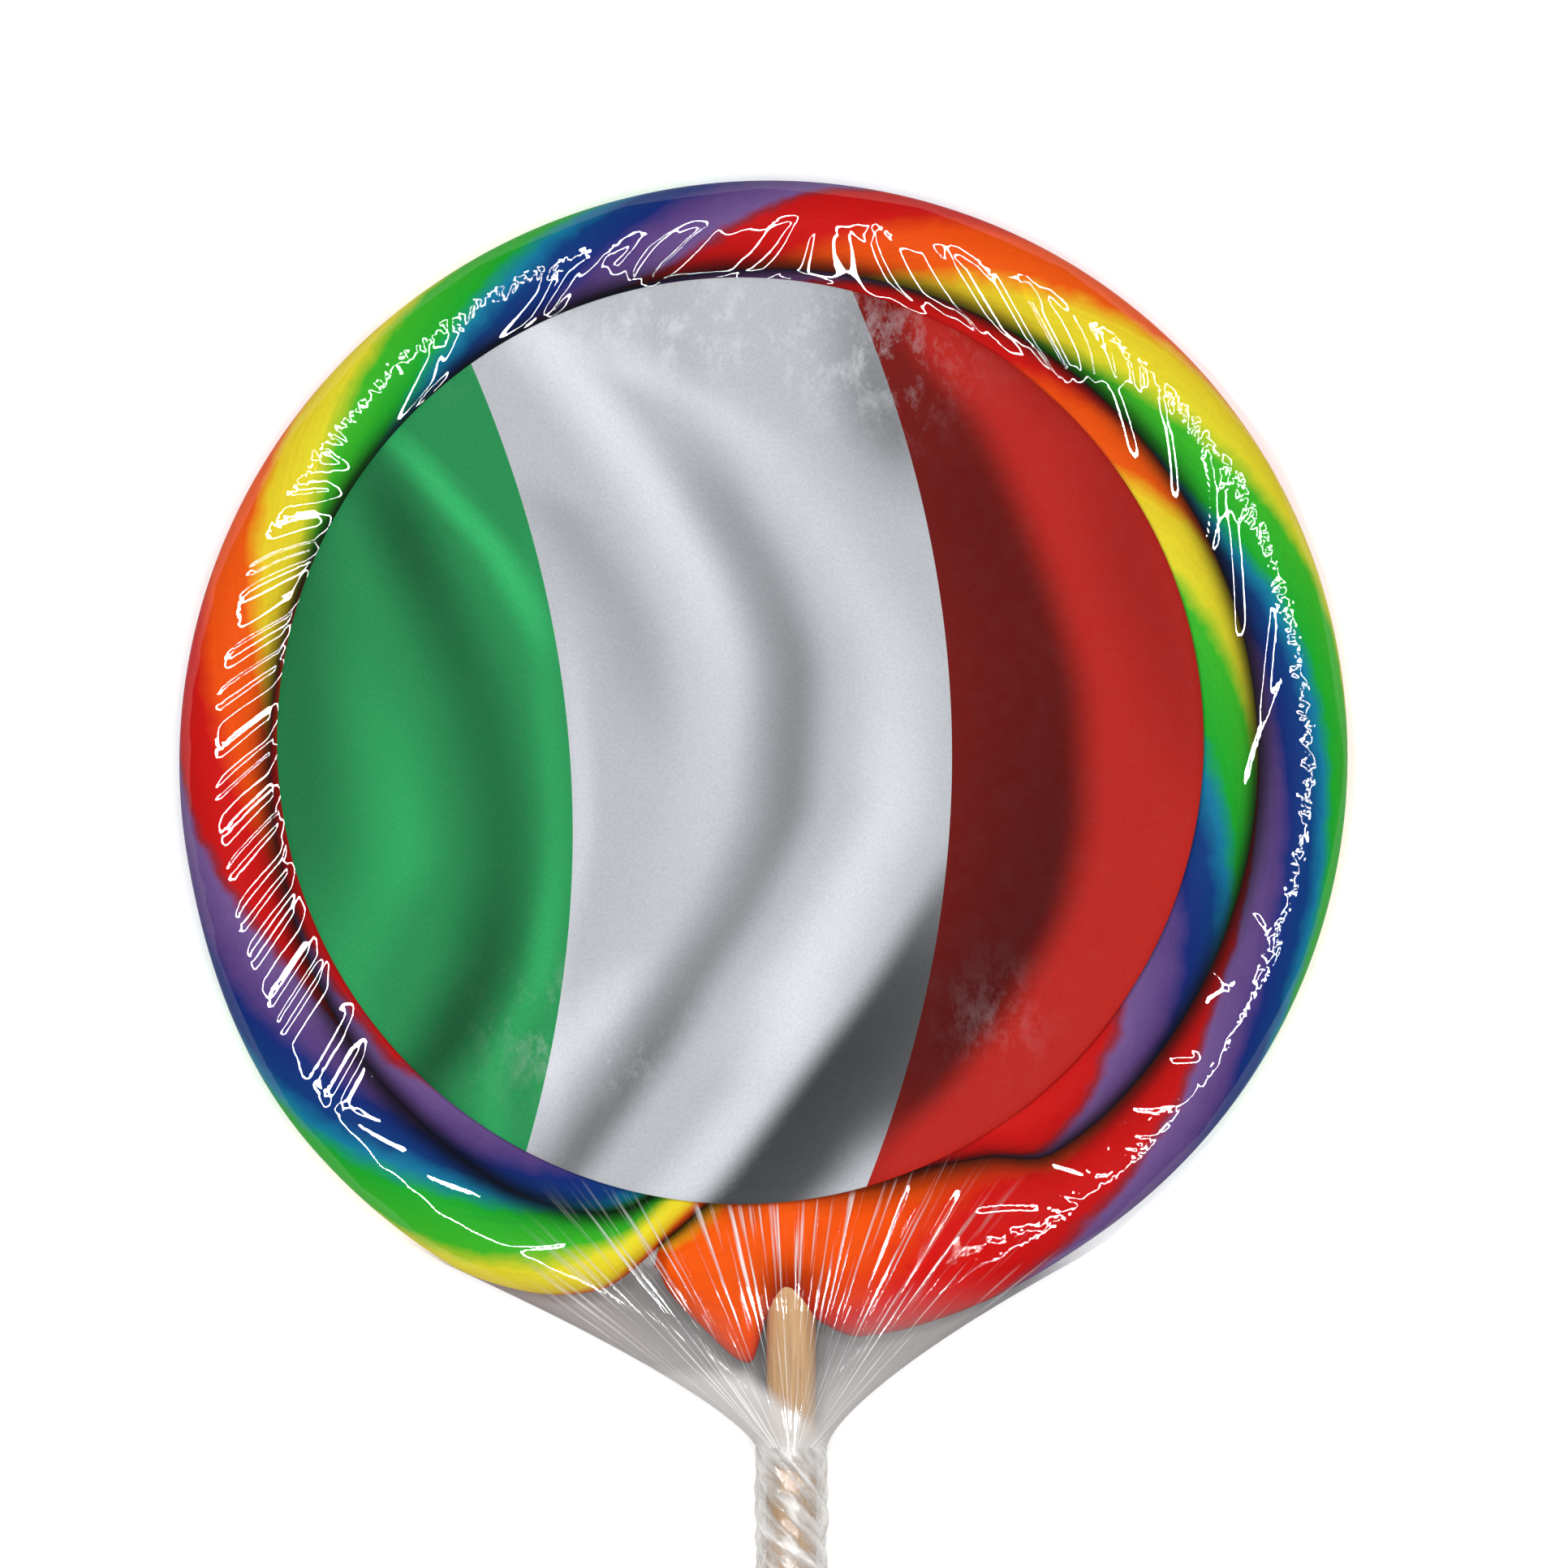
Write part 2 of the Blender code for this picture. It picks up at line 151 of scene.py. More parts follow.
TAUT_BLEND = 0.015
BACK_LIFT = 0.00015  # height of the back film over the ground
LOWEST_FILM = 0.00005
BACK_RELIEF = 0.5  # height of the back's wrinkles as a share of the front's
# Distances from the outline and from the label over which the wrinkles fade in
EDGE_FADE = 0.0022
LABEL_FADE = 0.0010
CLEAR_HAZE = 0.003
STICK_HAZE = 0.04
FUNNEL_HAZE = 0.38  # added beside the stick
BACK_HAZE = 0.85
RIM_HAZE = 0.20
NECK_HAZE = 0.62
NECK_TONE = 0.8
# The film's outline is a chain of nearly straight facets between corners at these clock angles
FACET_CORNERS = (
    20, 36, 43, 53, 70, 83, 95, 108, 125, 136, 150, 166,
    180, 196, 212, 229, 240, 252, 270, 291, 311, 324, 340,
)
FACET_DEPTH = 0.0004
# How far the film stands off the candy's rim: clock angle, distance
STAND_OFF = (
    (222, 0.0), (240, 0.0011), (252, 0.0003), (262, 0.0002), (272, 0.0006), (281, 0.0004),
    (292, 0.0001), (312, 0.0002), (330, 0.0009),
)

# Label
LABEL_RADIUS = 0.060
LABEL_X = -0.0029
LABEL_Y = 0.0020
LABEL_TOP = 0.0134
LABEL_THICKNESS = 0.0003
LABEL_BEVEL = 0.0001
LABEL_RINGS = 60
LABEL_COLUMNS = 240
FIELD_BOW = 3.56  # the colour fields' edges are arcs: x falls by this times the square of the distance
GREEN_EDGE = (-0.0246, -0.010)
RED_EDGE = (0.0245, 0.0)

# Lamps, a ring round the camera's axis, and floor
RING_LAMPS = 12
RING_DISTANCE = 1.3
RING_LEAN = 14.0  # degrees from straight above
RING_WIDTH = 0.05
RING_POWER = 18.6
WORLD_LIGHT = 0.07
FLOOR_HALF = 1.2
FLOOR_Z = -0.0001

SEED = 7


def smooth_step(x):
    """Rises smoothly from 0 at 0 to 1 at 1."""
    x = np.clip(x, 0.0, 1.0)
    return x * x * (3 - 2 * x)


def through(knots, x):
    """A smooth curve through knots of (place, value), level at its turning points and beyond its ends."""
    places, values = np.array(knots, float).T
    secants = np.diff(values) / np.diff(places)
    before, after = secants[:-1], secants[1:]
    slopes = np.zeros(len(places))
    same_way = before * after > 0
    slopes[1:-1][same_way] = 2 / (1 / before[same_way] + 1 / after[same_way])
    x = np.clip(x, places[0], places[-1])
    k = np.clip(np.searchsorted(places, x) - 1, 0, len(places) - 2)
    step = places[k + 1] - places[k]
    s = (x - places[k]) / step
    rise = values[k + 1] - values[k]
    bend = slopes[k] * (1 - s) - slopes[k + 1] * s
    return values[k] + rise * s + s * (1 - s) * (step * bend - rise * (1 - 2 * s))


def at_clock(radius, clock):
    """Plan position at a radius and a clock angle."""
    angle = np.radians(clock)
    return np.stack((-radius * np.sin(angle), -radius * np.cos(angle)), axis=-1)


def clock_of(x, y):
    """Clock angle from 0 to 360."""
    return np.degrees(np.arctan2(-x, -y)) % 360


def pressed_in(clock):
    """The disc's rim is slightly flatter on one side."""
    lean = np.cos(np.radians(clock - FLAT_CLOCK))
    return 1 - FLAT_DEPTH / DISC_RADIUS * np.maximum(lean, 0) ** 2


def turned_clock(x, y):
    """Clock angle from END_CLOCK to END_CLOCK + 360, as the rope's last turn runs."""
    clock = clock_of(x, y)
    return np.where(clock < END_CLOCK, clock + 360, clock)


def level_radius(level):
    """Outer edge of a turn of the coil where it runs as a ring."""
    return ROPE_PITCH * (level + 0.5)


def shifted_edge(level, clock):
    """Outer edge of the rope near the stick, where it moves from one level of the coil to the next."""
    last = level_radius(TURNS - 2)
    shift = ROPE_PITCH * smooth_step((clock - SHIFT_START) / (SHIFT_END - SHIFT_START))
    dent = through(UNDER_END, clock) - last - shift
    radius = level_radius(level)
    return radius + shift + dent * (np.maximum(radius, 0) / last) ** DENT_FADE


def edge_radius(turn, clock):
    """Outer edge of the rope in a turn, for clock angles from END_CLOCK to END_CLOCK + 360."""
    past = clock > 180
    along = turn + (clock - END_CLOCK) / 360
    even = ROPE_PITCH * along
    stepped = np.where(past, shifted_edge(turn, clock - 360), shifted_edge(turn - 1, clock))
    radius = even + (stepped - even) * smooth_step((along - EVEN_TURNS) / (RINGED_TURNS - EVEN_TURNS))
    return np.where(past & (turn == TURNS - 1), through(END_EDGE, clock - 360), radius)


def groove_height(radius, clock, plain):
    """Height of a groove over the middle plane: it runs higher where the stick lies under it."""
    x, y = at_clock(radius, clock).T
    beside = smooth_step(2 - abs(x - STICK_X) / STICK_DIAMETER)
    inwards = smooth_step((STICK_INNER_END + STICK_DIAMETER - y) / STICK_DIAMETER)
    covering = STICK_DIAMETER / 2 + CLEARANCE + STICK_COVER
    return plain + (covering - plain) * beside * inwards


def grid_quads(rows, columns, start=0):
    """Faces of a grid of points that is stored row by row."""
    corner = start + np.arange(rows - 1)[:, None] * columns + np.arange(columns - 1)
    return np.stack((corner, corner + 1, corner + columns + 1, corner + columns), axis=-1).reshape(-1, 4)


def ring_quads(rows, columns):
    """Faces of a grid of points whose last column joins its first."""
    seam = np.arange(rows - 1) * columns
    closing = np.stack((seam + columns - 1, seam, seam + columns, seam + 2 * columns - 1), axis=-1)
    return np.concatenate((grid_quads(rows, columns), closing))


def add_object(name, data):
    """A scene object with the given data."""
    made = bpy.data.objects.new(name, data)
    bpy.context.scene.collection.objects.link(made)
    return made


def add_piece(name, points, faces, material, replaced, attributes, merge=False):
    """A smooth mesh piece that rides on the body, with named values at its points."""
    mesh = bpy.data.meshes.new(name)
    mesh.from_pydata(points.reshape(-1, 3).tolist(), [], [list(map(int, face)) for face in faces])
    for label, values in attributes.items():
        made = mesh.attributes.new(label, "FLOAT", "POINT")
        made.data.foreach_set("value", np.asarray(values, np.float32).ravel())
    mesh.materials.append(material)
    if merge:
        merge_points(mesh)
    mesh.shade_smooth()
    piece = add_object(name, mesh)
    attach(piece, "root")
    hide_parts(replaced)
    return piece


def merge_points(mesh, closed=False):
    """Joins points that lie on each other. The faces of a closed skin are turned outwards."""
    shape = bmesh.new()
    shape.from_mesh(mesh)
    bmesh.ops.remove_doubles(shape, verts=shape.verts, dist=MERGE_DISTANCE)
    if closed:
        bmesh.ops.dissolve_degenerate(shape, edges=shape.edges, dist=MERGE_DISTANCE / 2)
        bmesh.ops.recalc_face_normals(shape, faces=shape.faces)
    shape.to_mesh(mesh)
    shape.free()


class Nodes:
    """Builds one material's node tree with short calls."""

    def __init__(self, name):
        self.material = bpy.data.materials.new(name)
        self.material.use_nodes = True
        self.tree = self.material.node_tree
        self.tree.nodes.clear()

    def feed(self, socket, value):
        """Sets an input, or links it to an output or to the mesh attribute that a text names."""
        if isinstance(value, str):
            value = self.add("ShaderNodeAttribute", attribute_name=value).outputs["Fac"]
        if isinstance(value, bpy.types.NodeSocket):
            self.tree.links.new(value, socket)
        else:
            socket.default_value = value

    def add(self, kind, values=None, **settings):
        node = self.tree.nodes.new(kind)
        for setting, value in settings.items():
            setattr(node, setting, value)
        for key, value in (values or {}).items():
            self.feed(node.inputs[key], value)
        return node

    def math(self, operation, first, second=0.0):
        return self.add("ShaderNodeMath", {0: first, 1: second}, operation=operation).outputs[0]

    def times(self, first, second):
        return self.math("MULTIPLY", first, second)

    def plus(self, first, second):
        return self.math("ADD", first, second)

    def vector(self, x, y, z=0.0):
        return self.add("ShaderNodeCombineXYZ", {0: x, 1: y, 2: z}).outputs[0]

    def place(self):
        return self.add("ShaderNodeTexCoord").outputs["Object"]

    def stretched(self, vector, scale):
        return self.add("ShaderNodeVectorMath", {0: vector, 1: scale}, operation="MULTIPLY").outputs[0]

    def noise(self, vector, scale, detail=2.0, roughness=0.5):
        values = {"Vector": vector, "Scale": scale, "Detail": detail, "Roughness": roughness}
        return self.add("ShaderNodeTexNoise", values).outputs["Fac"]

    def spread(self, value, low, high, to_low=0.0, to_high=1.0):
        values = {"Value": value, 1: low, 2: high, 3: to_low, 4: to_high}
        return self.add("ShaderNodeMapRange", values).outputs[0]

    def ramp(self, value, stops):
        node = self.add("ShaderNodeValToRGB", {"Fac": value})
        elements = node.color_ramp.elements
        while len(elements) < len(stops):
            elements.new(0.5)
        for element, (position, colour) in zip(elements, stops):
            element.position = position
            element.color = (*colour, 1)
        return node.outputs["Color"]

    def mix(self, share, first, second, blend="MIX"):
        node = self.add("ShaderNodeMix", data_type="RGBA", blend_type=blend)
        for key, value in ((0, share), (6, first), (7, second)):
            self.feed(node.inputs[key], (*value, 1) if isinstance(value, tuple) else value)
        return node.outputs[2]

    def lit(self, colour, light):
        """A colour times a light value."""
        shade = self.add("ShaderNodeCombineColor", {0: light, 1: light, 2: light}).outputs[0]
        return self.mix(1.0, colour, shade, "MULTIPLY")

    def bump(self, height, distance, strength=1.0):
        values = {"Height": height, "Distance": distance, "Strength": strength}
        return self.add("ShaderNodeBump", values).outputs["Normal"]

    def finish(self, shader):
        self.add("ShaderNodeOutputMaterial", {"Surface": shader.outputs[0]})
        return self.material


# Linear colours of the candy's stripes, and where they stand on a scale of six colour numbers
STRIPES = (
    (0.0, (0.30, 0.016, 0.030)),
    (0.12, (0.54, 0.003, 0.003)),
    (0.80, (0.60, 0.005, 0.003)),
    (1.20, (0.82, 0.078, 0.001)),
    (1.85, (0.84, 0.100, 0.002)),
    (2.20, (0.80, 0.60, 0.020)),
    (2.80, (0.76, 0.68, 0.025)),
    (3.15, (0.045, 0.46, 0.018)),
    (3.85, (0.008, 0.38, 0.022)),
    (4.15, (0.004, 0.19, 0.34)),
    (4.45, (0.001, 0.042, 0.20)),
    (4.90, (0.004, 0.022, 0.18)),
    (5.20, (0.090, 0.046, 0.205)),
    (5.85, (0.165, 0.090, 0.27)),
    (6.0, (0.30, 0.016, 0.030)),
)


def candy_material():
    """Hard sugar: soft-edged stripes with fine pulled streaks along the twist."""
    nodes = Nodes("pulled_candy")
    waver = nodes.noise(nodes.place(), 260, 3.0)
    number = nodes.plus("colour_number", nodes.spread(waver, 0, 1, -0.16, 0.16))
    rounds = nodes.math("DIVIDE", nodes.plus(number, POSITIVE_ROUNDS * COLOURS + COLOUR_SHIFT), COLOURS)
    places = [(position / COLOURS, colour) for position, colour in STRIPES]
    stripes = nodes.ramp(nodes.math("FRACT", rounds), places)
    streaks = nodes.noise(nodes.vector(nodes.times(number, 5.0), nodes.times(waver, 2.0)), 3.0, 4.0)
    # Painted shade: the stripes' colour is darkened towards the bottom of each groove and in the stick's
    # mouth
    groove = nodes.spread("groove", 0, 1, 1.0, PAINTED_GROOVE_LIGHT)
    light = nodes.times(nodes.spread(streaks, 0.25, 0.75, 0.92, 1.06), groove)
    values = {
        "Base Color": nodes.lit(stripes, light),
        "Roughness": 0.5,
        "Specular IOR Level": 0.02,
        "Subsurface Weight": 0.08,
        "Subsurface Radius": (0.9, 0.4, 0.25),
        "Subsurface Scale": 0.0012,
        "Normal": nodes.bump(streaks, 0.00006, 0.6),
    }
    return nodes.finish(nodes.add("ShaderNodeBsdfPrincipled", values))


def rope_clocks():
    """Clock angles of one turn's cross-sections."""
    places = []
    start = END_CLOCK
    for end, columns in ROPE_COLUMNS:
        places.append(np.linspace(start, end, columns, endpoint=False))
        start = end
    return np.concatenate(places)


def edge_colour(winding):
    """Colour number at the rope's outer edge."""
    first = EDGE_COLOURS[0][0]
    return through(EDGE_COLOURS, winding) - COLOURS_PER_DEGREE * np.maximum(first - winding, 0)


def colours_inwards(winding, across, sunk):
    """Colours between the rope's outer rim and a point on its front, by how far round the section it is."""
    rate = through(COLOURS_AROUND, winding)
    return rate[:, None] * (90 - np.degrees(np.arcsin(np.sqrt(sunk) * across)))


def painted_mouth_shade(plan):
    """Painted shade in the mouth that the stick goes into."""
    across = (plan[..., 0] - STICK_X) / MOUTH_HALF_WIDTH
    along = (plan[..., 1] - MOUTH_Y) / MOUTH_HALF_LENGTH
    return MOUTH_SHADE * np.exp(-(across**2) - along**2)


def make_candy():
    """The coil as one closed skin. Neighbouring turns share the points of the groove between them."""
    clocks = rope_clocks()
    count = len(clocks)
    index = np.arange(TURNS * count + 1)
    turn = np.minimum(index // count, TURNS - 1)
    clock = clocks[index % count]
    clock[-1] = END_CLOCK + 360
    free = index > (TURNS - 1) * count
    outer = edge_radius(turn, clock)
    outer[0] = 0
    inner = np.concatenate((np.zeros(count), outer[:-count]))
    fullness = smooth_step((outer - inner) / (FULL_WIDTH_SHARE * ROPE_PITCH))[:, None]
    winding = (turn - (TURNS - 1)) * 360 + clock
    points, faces, numbers, painted_shades = [], [], [], []
    start = 0
    for steps, plain, side in ((FRONT_STEPS, FRONT_GROOVE_HEIGHT, 1), (BACK_STEPS, BACK_GROOVE_HEIGHT, -1)):
        outer_height = np.where(free, 0.0, groove_height(outer, clock, plain))
        first = np.full(count, groove_height(0.0, clock[:1], plain)[0])
        inner_height = np.concatenate((first, outer_height[:-count]))
        across = np.sin(np.pi * (np.arange(steps + 1) / steps - 0.5))
        edge = np.where(across > 0, outer_height[:, None], inner_height[:, None])
        sunk = 1 - (edge / ROPE_HALF_HEIGHT) ** 2
        round_height = ROPE_HALF_HEIGHT * np.sqrt(1 - sunk * across**2)
        chord = inner_height[:, None] + (outer_height - inner_height)[:, None] * (across + 1) / 2
        height = chord + fullness * (round_height - chord)
        radius = inner[:, None] + (outer - inner)[:, None] * (across + 1) / 2
        radius = radius * pressed_in(clock)[:, None]
        plan = at_clock(radius, clock[:, None])
        points.append(np.concatenate((plan, (MIDDLE_Z + side * height)[..., None]), axis=-1).reshape(-1, 3))
        quads = grid_quads(len(index), steps + 1, start)
        faces.append(quads if side > 0 else quads[:, ::-1])
        inwards = colours_inwards(winding, across, sunk)
        numbers.append((edge_colour(winding)[:, None] + side * inwards).ravel())
        # Painted shade: darker towards each groove, but not on the free outer side of the last turn, and in
        # the stick's mouth
        rimless = np.where((across > 0) & free[:, None], 0, 1) * fullness
        shade = rimless * smooth_step((abs(across) - GROOVE_SHADE_START) / (1 - GROOVE_SHADE_START))
        painted_shades.append(np.maximum(shade, painted_mouth_shade(plan)).ravel())
        start += len(index) * (steps + 1)
    front_end = np.arange(TURNS * count * (FRONT_STEPS + 1), (TURNS * count + 1) * (FRONT_STEPS + 1))
    back_end = np.arange(start - BACK_STEPS - 1, start)
    candy = add_piece(
        "candy_rope",
        np.concatenate(points),
        [list(face) for face in np.concatenate(faces)] + [list(front_end) + list(back_end[::-1])],
        candy_material(),
        "candy_swirl",
        {"point_number": np.concatenate(numbers), "groove": np.concatenate(painted_shades)},
    )
    merge_rope(candy.data)


def merge_rope(mesh):
    """Joins the points that neighbouring strips share. Each strip keeps its own colours at its corners."""
    numbers = np.empty(len(mesh.vertices), np.float32)
    mesh.attributes["point_number"].data.foreach_get("value", numbers)
    corners = np.empty(len(mesh.loops), np.int32)
    mesh.loops.foreach_get("vertex_index", corners)
    made = mesh.attributes.new("colour_number", "FLOAT", "CORNER")
    made.data.foreach_set("value", numbers[corners])
    mesh.attributes.remove(mesh.attributes["point_number"])
    merge_points(mesh, closed=True)
    mesh.shade_smooth()
    mesh.set_sharp_from_angle(angle=math.radians(SHARP_ANGLE))


def wrap_edge(clock):
    """Outline radius of the film over the disc."""
    candy = edge_radius(TURNS - 1, clock) * pressed_in(clock)
    corners = np.array(FACET_CORNERS, float)
    k = np.clip(np.searchsorted(corners, clock) - 1, 0, len(corners) - 2)
    share = np.clip((clock - corners[k]) / (corners[k + 1] - corners[k]), 0, 1)
    return candy + FILM_GAP + through(STAND_OFF, clock) + FACET_DEPTH * (2 * share - 1) ** 2


def funnel_side(side, shares):
    """Outline of the film from the disc (0) to the neck (1), on the left (-1) or right (1) side."""
    clock = FUNNEL_CLOCK if side < 0 else 360 - FUNNEL_CLOCK
    start_x, start_y = at_clock(wrap_edge(np.array(clock)), clock)
    width = TAIL_RADIUS + (abs(start_x) - TAIL_RADIUS) * (1 - shares) ** FUNNEL_POWER
    return np.stack((STICK_X * shares + side * width, start_y + (NECK_Y - start_y) * shares), axis=-1)


def film_outline(thinning):
    """Plan outline of the film with its neck ring's height, and 1 at free edges, fading to 0 at the neck."""
    disc_clocks = np.linspace(FUNNEL_CLOCK, 360 - FUNNEL_CLOCK, DISC_COLUMNS // thinning)
    disc = at_clock(wrap_edge(disc_clocks), disc_clocks)
    shares = np.arange(1, FUNNEL_COLUMNS // thinning + 1) / (FUNNEL_COLUMNS // thinning)
    right = funnel_side(1, shares)
    left = funnel_side(-1, shares)
    neck = np.pi * np.arange(1, NECK_COLUMNS // thinning) / (NECK_COLUMNS // thinning)
    ring = np.stack((STICK_X + TAIL_RADIUS * np.cos(neck), np.full(len(neck), NECK_Y)), axis=-1)
    outline = np.concatenate((disc, right, ring, left[::-1]))
    rise = np.zeros(len(outline))
    rise[len(disc) + len(right) : len(disc) + len(right) + len(ring)] = TAIL_RADIUS * np.sin(neck)
    fade = smooth_step((1 - shares) * 4)
    rim = np.concatenate((np.ones(len(disc)), fade, np.zeros(len(ring)), fade[::-1]))
    return outline, rise, rim


def outline_side(side, first):
    """The film's left (-1) or right (1) outline, from a clock angle on the disc's rim to the neck."""
    clocks = np.arange(first, FUNNEL_CLOCK if side < 0 else 360 - FUNNEL_CLOCK, side)
    return np.concatenate((at_clock(wrap_edge(clocks), clocks), funnel_side(side, np.linspace(0, 1, 60))))


def free_edges():
    """The film's outline without the neck's opening, as line segments, for distances from it."""
    lines = []
    for side, first in ((-1, 80), (1, 280)):
        tail = (STICK_X + side * TAIL_RADIUS, NECK_Y - 0.02)
        lines.append(np.vstack((outline_side(side, first), tail)))
    return np.concatenate([line[:-1] for line in lines]), np.concatenate([line[1:] for line in lines])


def distance_from_segments(points, starts, ends):
    """Distance of each point from the nearest of many line segments."""
    chords = ends - starts
    squares = (chords**2).sum(axis=1)
    nearest = np.full(len(points), np.inf)
    for start, chord, square in zip(starts, chords, squares):
        offset = points - start
        along = np.clip(offset @ chord / square, 0, 1)
        away = offset - along[:, None] * chord
        nearest = np.minimum(nearest, np.hypot(away[:, 0], away[:, 1]))
    return nearest


def distance_inside(x, y):
    """How far a point lies inside the film's free outline."""
    radial = wrap_edge(turned_clock(x, y)) - np.hypot(x, y)
    near = y < SIDES_Y
    nearest = radial.copy()
    nearest[near] = distance_from_segments(np.stack((x[near], y[near]), axis=-1), *free_edges())
    blend = smooth_step((SIDES_Y - y) / SIDES_BLEND)
    return np.maximum(radial + (nearest - radial) * blend, 0)


def funnel_place(x, y):
    """Across the funnel from -1 (left outline) to 1 (right outline)."""
    left, right = outline_side(-1, 88), outline_side(1, 272)
    left_x = np.interp(-y, -left[:, 1], left[:, 0])
    right_x = np.interp(-y, -right[:, 1], right[:, 0])
    return (x - (left_x + right_x) / 2) / ((right_x - left_x) / 2)


def ripple(rng, clock, harmonics, count):
    """A smooth random wave round the disc, from -1 to 1."""
    total = np.zeros_like(clock)
    for _ in range(count):
        total += np.cos(np.radians(clock * rng.integers(*harmonics)) + rng.uniform(0, 2 * math.pi))
    return total / math.sqrt(count) / 1.5


def funnel_taper(y):
    """Rises from 0 at the disc to 1 at the neck."""
    return smooth_step((FUNNEL_START_Y - y) / (FUNNEL_START_Y - NECK_Y))


def crest_radius(clock):
    """Radius of the outer rope's crest."""
    return DISC_RADIUS * pressed_in(clock) - ROPE_PITCH / 2


def front_height(x, y, rng):
    """Height of the taut front film: it hangs between the label's edge and the outer rope's crest."""
    clock = clock_of(x, y)
    past_label = np.maximum(np.hypot(x - LABEL_X, y - LABEL_Y) - LABEL_RADIUS, 0)
    to_crest = np.maximum(crest_radius(clock) - np.hypot(x, y), 0)
    share = past_label / np.maximum(past_label + to_crest, 1e-9)
    sag = FILM_SAG * (1 - SAG_UNEVEN + SAG_UNEVEN * ripple(rng, clock, (5, 22), 6))
    taut = smooth_step((TAUT_Y - y) / TAUT_BLEND)
    height = FILM_AT_LABEL + (FILM_AT_CREST - FILM_AT_LABEL) * share
    height -= sag * (1 - 0.6 * taut) * np.sin(np.pi * share) ** 2
    return height + (FILM_AT_NECK - FILM_AT_CREST) * funnel_taper(y)


def back_height(x, y):
    """Depth of the film's back under the middle plane."""
    return MIDDLE_Z - BACK_LIFT + (TAIL_RADIUS - MIDDLE_Z) * funnel_taper(y)


# Film: creases. Each family: clock from, to, how many, offsets from the outer crest where a crease
# starts (from, to) and ends (from, to), shift in degrees (from, to), width, height
CREASES = (
    (138, 172, 5, (-0.0015, 0.0005), (-0.0085, -0.0060), (-16.0, -9.0), 0.00070, 0.00015),
    (214, 236, 3, (-0.0010, 0.0010), (-0.0088, -0.0060), (10.0, 15.0), 0.00080, 0.00018),
    (238, 262, 3, (-0.0020, 0.0000), (-0.0080, -0.0050), (10.0, 16.0), 0.00080, 0.00018),
    (284, 326, 4, (0.0010, 0.0030), (-0.0010, 0.0010), (10.0, 18.0), 0.00070, 0.00013),
    (286, 330, 9, (-0.0020, 0.0010), (-0.0070, -0.0040), (-3.0, 8.0), 0.00060, 0.00012),
    (24, 60, 4, (0.0000, 0.0035), (-0.0040, -0.0010), (-12.0, -6.0), 0.00060, 0.00012),
)
# Gathers: waves across the film, by clock angle: length in degrees, steepest slope, lean in degrees for
# each metre inwards, and how far outwards and inwards from the outer crest they reach
WAVES = (
    (20, 4.5, 0.02, -900, 0.0030, 0.0030),
    (46, 4.5, 0.04, 300, 0.0030, 0.0050),
    (58, 3.6, 0.18, 400, 0.0034, 0.0080),
    (72, 4.4, 0.20, 600, 0.0045, 0.0085),
    (96, 4.8, 0.20, 750, 0.0045, 0.0085),
    (112, 5.0, 0.21, 900, 0.0040, 0.0080),
    (122, 4.2, 0.16, 600, 0.0030, 0.0050),
    (128, 2.4, 0.19, 0, 0.0030, 0.0020),
    (155, 2.4, 0.18, -800, 0.0022, 0.0018),
    (161, 3.0, 0.13, -900, 0.0015, 0.0018),
    (168, 8.0, 0.20, -1200, 0.0012, 0.0085),
    (178, 9.0, 0.25, -700, 0.0010, 0.0085),
    (190, 9.0, 0.26, 300, 0.0010, 0.0085),
    (202, 9.5, 0.26, 1000, 0.0010, 0.0085),
    (218, 9.5, 0.22, 1500, 0.0012, 0.0080),
    (226, 2.6, 0.20, 900, 0.0026, 0.0022),
    (246, 2.0, 0.20, 500, 0.0026, 0.0016),
    (272, 1.8, 0.22, -700, 0.0028, 0.0014),
    (286, 2.4, 0.16, -900, 0.0020, 0.0014),
    (304, 3.0, 0.05, 0, 0.0012, 0.0012),
    (316, 2.6, 0.14, 600, 0.0016, 0.0025),
    (334, 3.0, 0.07, 800, 0.0015, 0.0030),
)
# Clock angles where the row of gathers starts and ends, and how far it takes to fade in
GATHERS_START = 18
GATHERS_END = 342
GATHERS_FADE = 6
# Crinkles along the outer crest: how far past it their middle is, half width, then clock angle and strength
CRINKLE_SHIFT = 0.0005
CRINKLE_HALF_WIDTH = 0.0018
CRINKLES = (
    (44, 0.0), (56, 0.3), (112, 0.3), (124, 1.7), (156, 1.4), (168, 0.3), (214, 0.3), (224, 1.8),
    (290, 1.6), (300, 0.5), (312, 1.2), (334, 1.0), (345, 0.2),
)
# The gathered layers cover the stick from this height over the neck, higher on the left side
NECK_COVER = 0.0050
NECK_COVER_LEAN = 0.75
NECK_COVER_FADE = 0.003
# Pleats of the funnel fan out in straight lines from a point below the neck
FAN_DEPTH = 0.003
FAN_HALF = 62  # degrees to each side
FAN_REACH = 0.048  # from the neck
FAN_FADE = 0.020
PLEATS_Y = -0.030  # they start below this
# Broad pleats: place in the fan from, to (-1 is the left side), how many, width, height
PLEATS = (
    (-0.95, -0.30, 11, 0.014, 0.00008),
    (-0.30, 0.25, 8, 0.020, 0.00005),
    (0.25, 0.95, 11, 0.014, 0.00008),
)


def crease_height(x, y, start, end, bow, width, height):
    """Height of one bowed crease, which fades out at both ends."""
    chord = end - start
    length = math.hypot(*chord)
    along = ((x - start[0]) * chord[0] + (y - start[1]) * chord[1]) / length**2
    aside = ((x - start[0]) * chord[1] - (y - start[1]) * chord[0]) / length
    aside = aside - bow * 4 * along * (1 - along)
    ends = smooth_step(along / 0.2) * smooth_step((1 - along) / 0.2)
    return height * ends * np.exp(-((aside / width) ** 2))


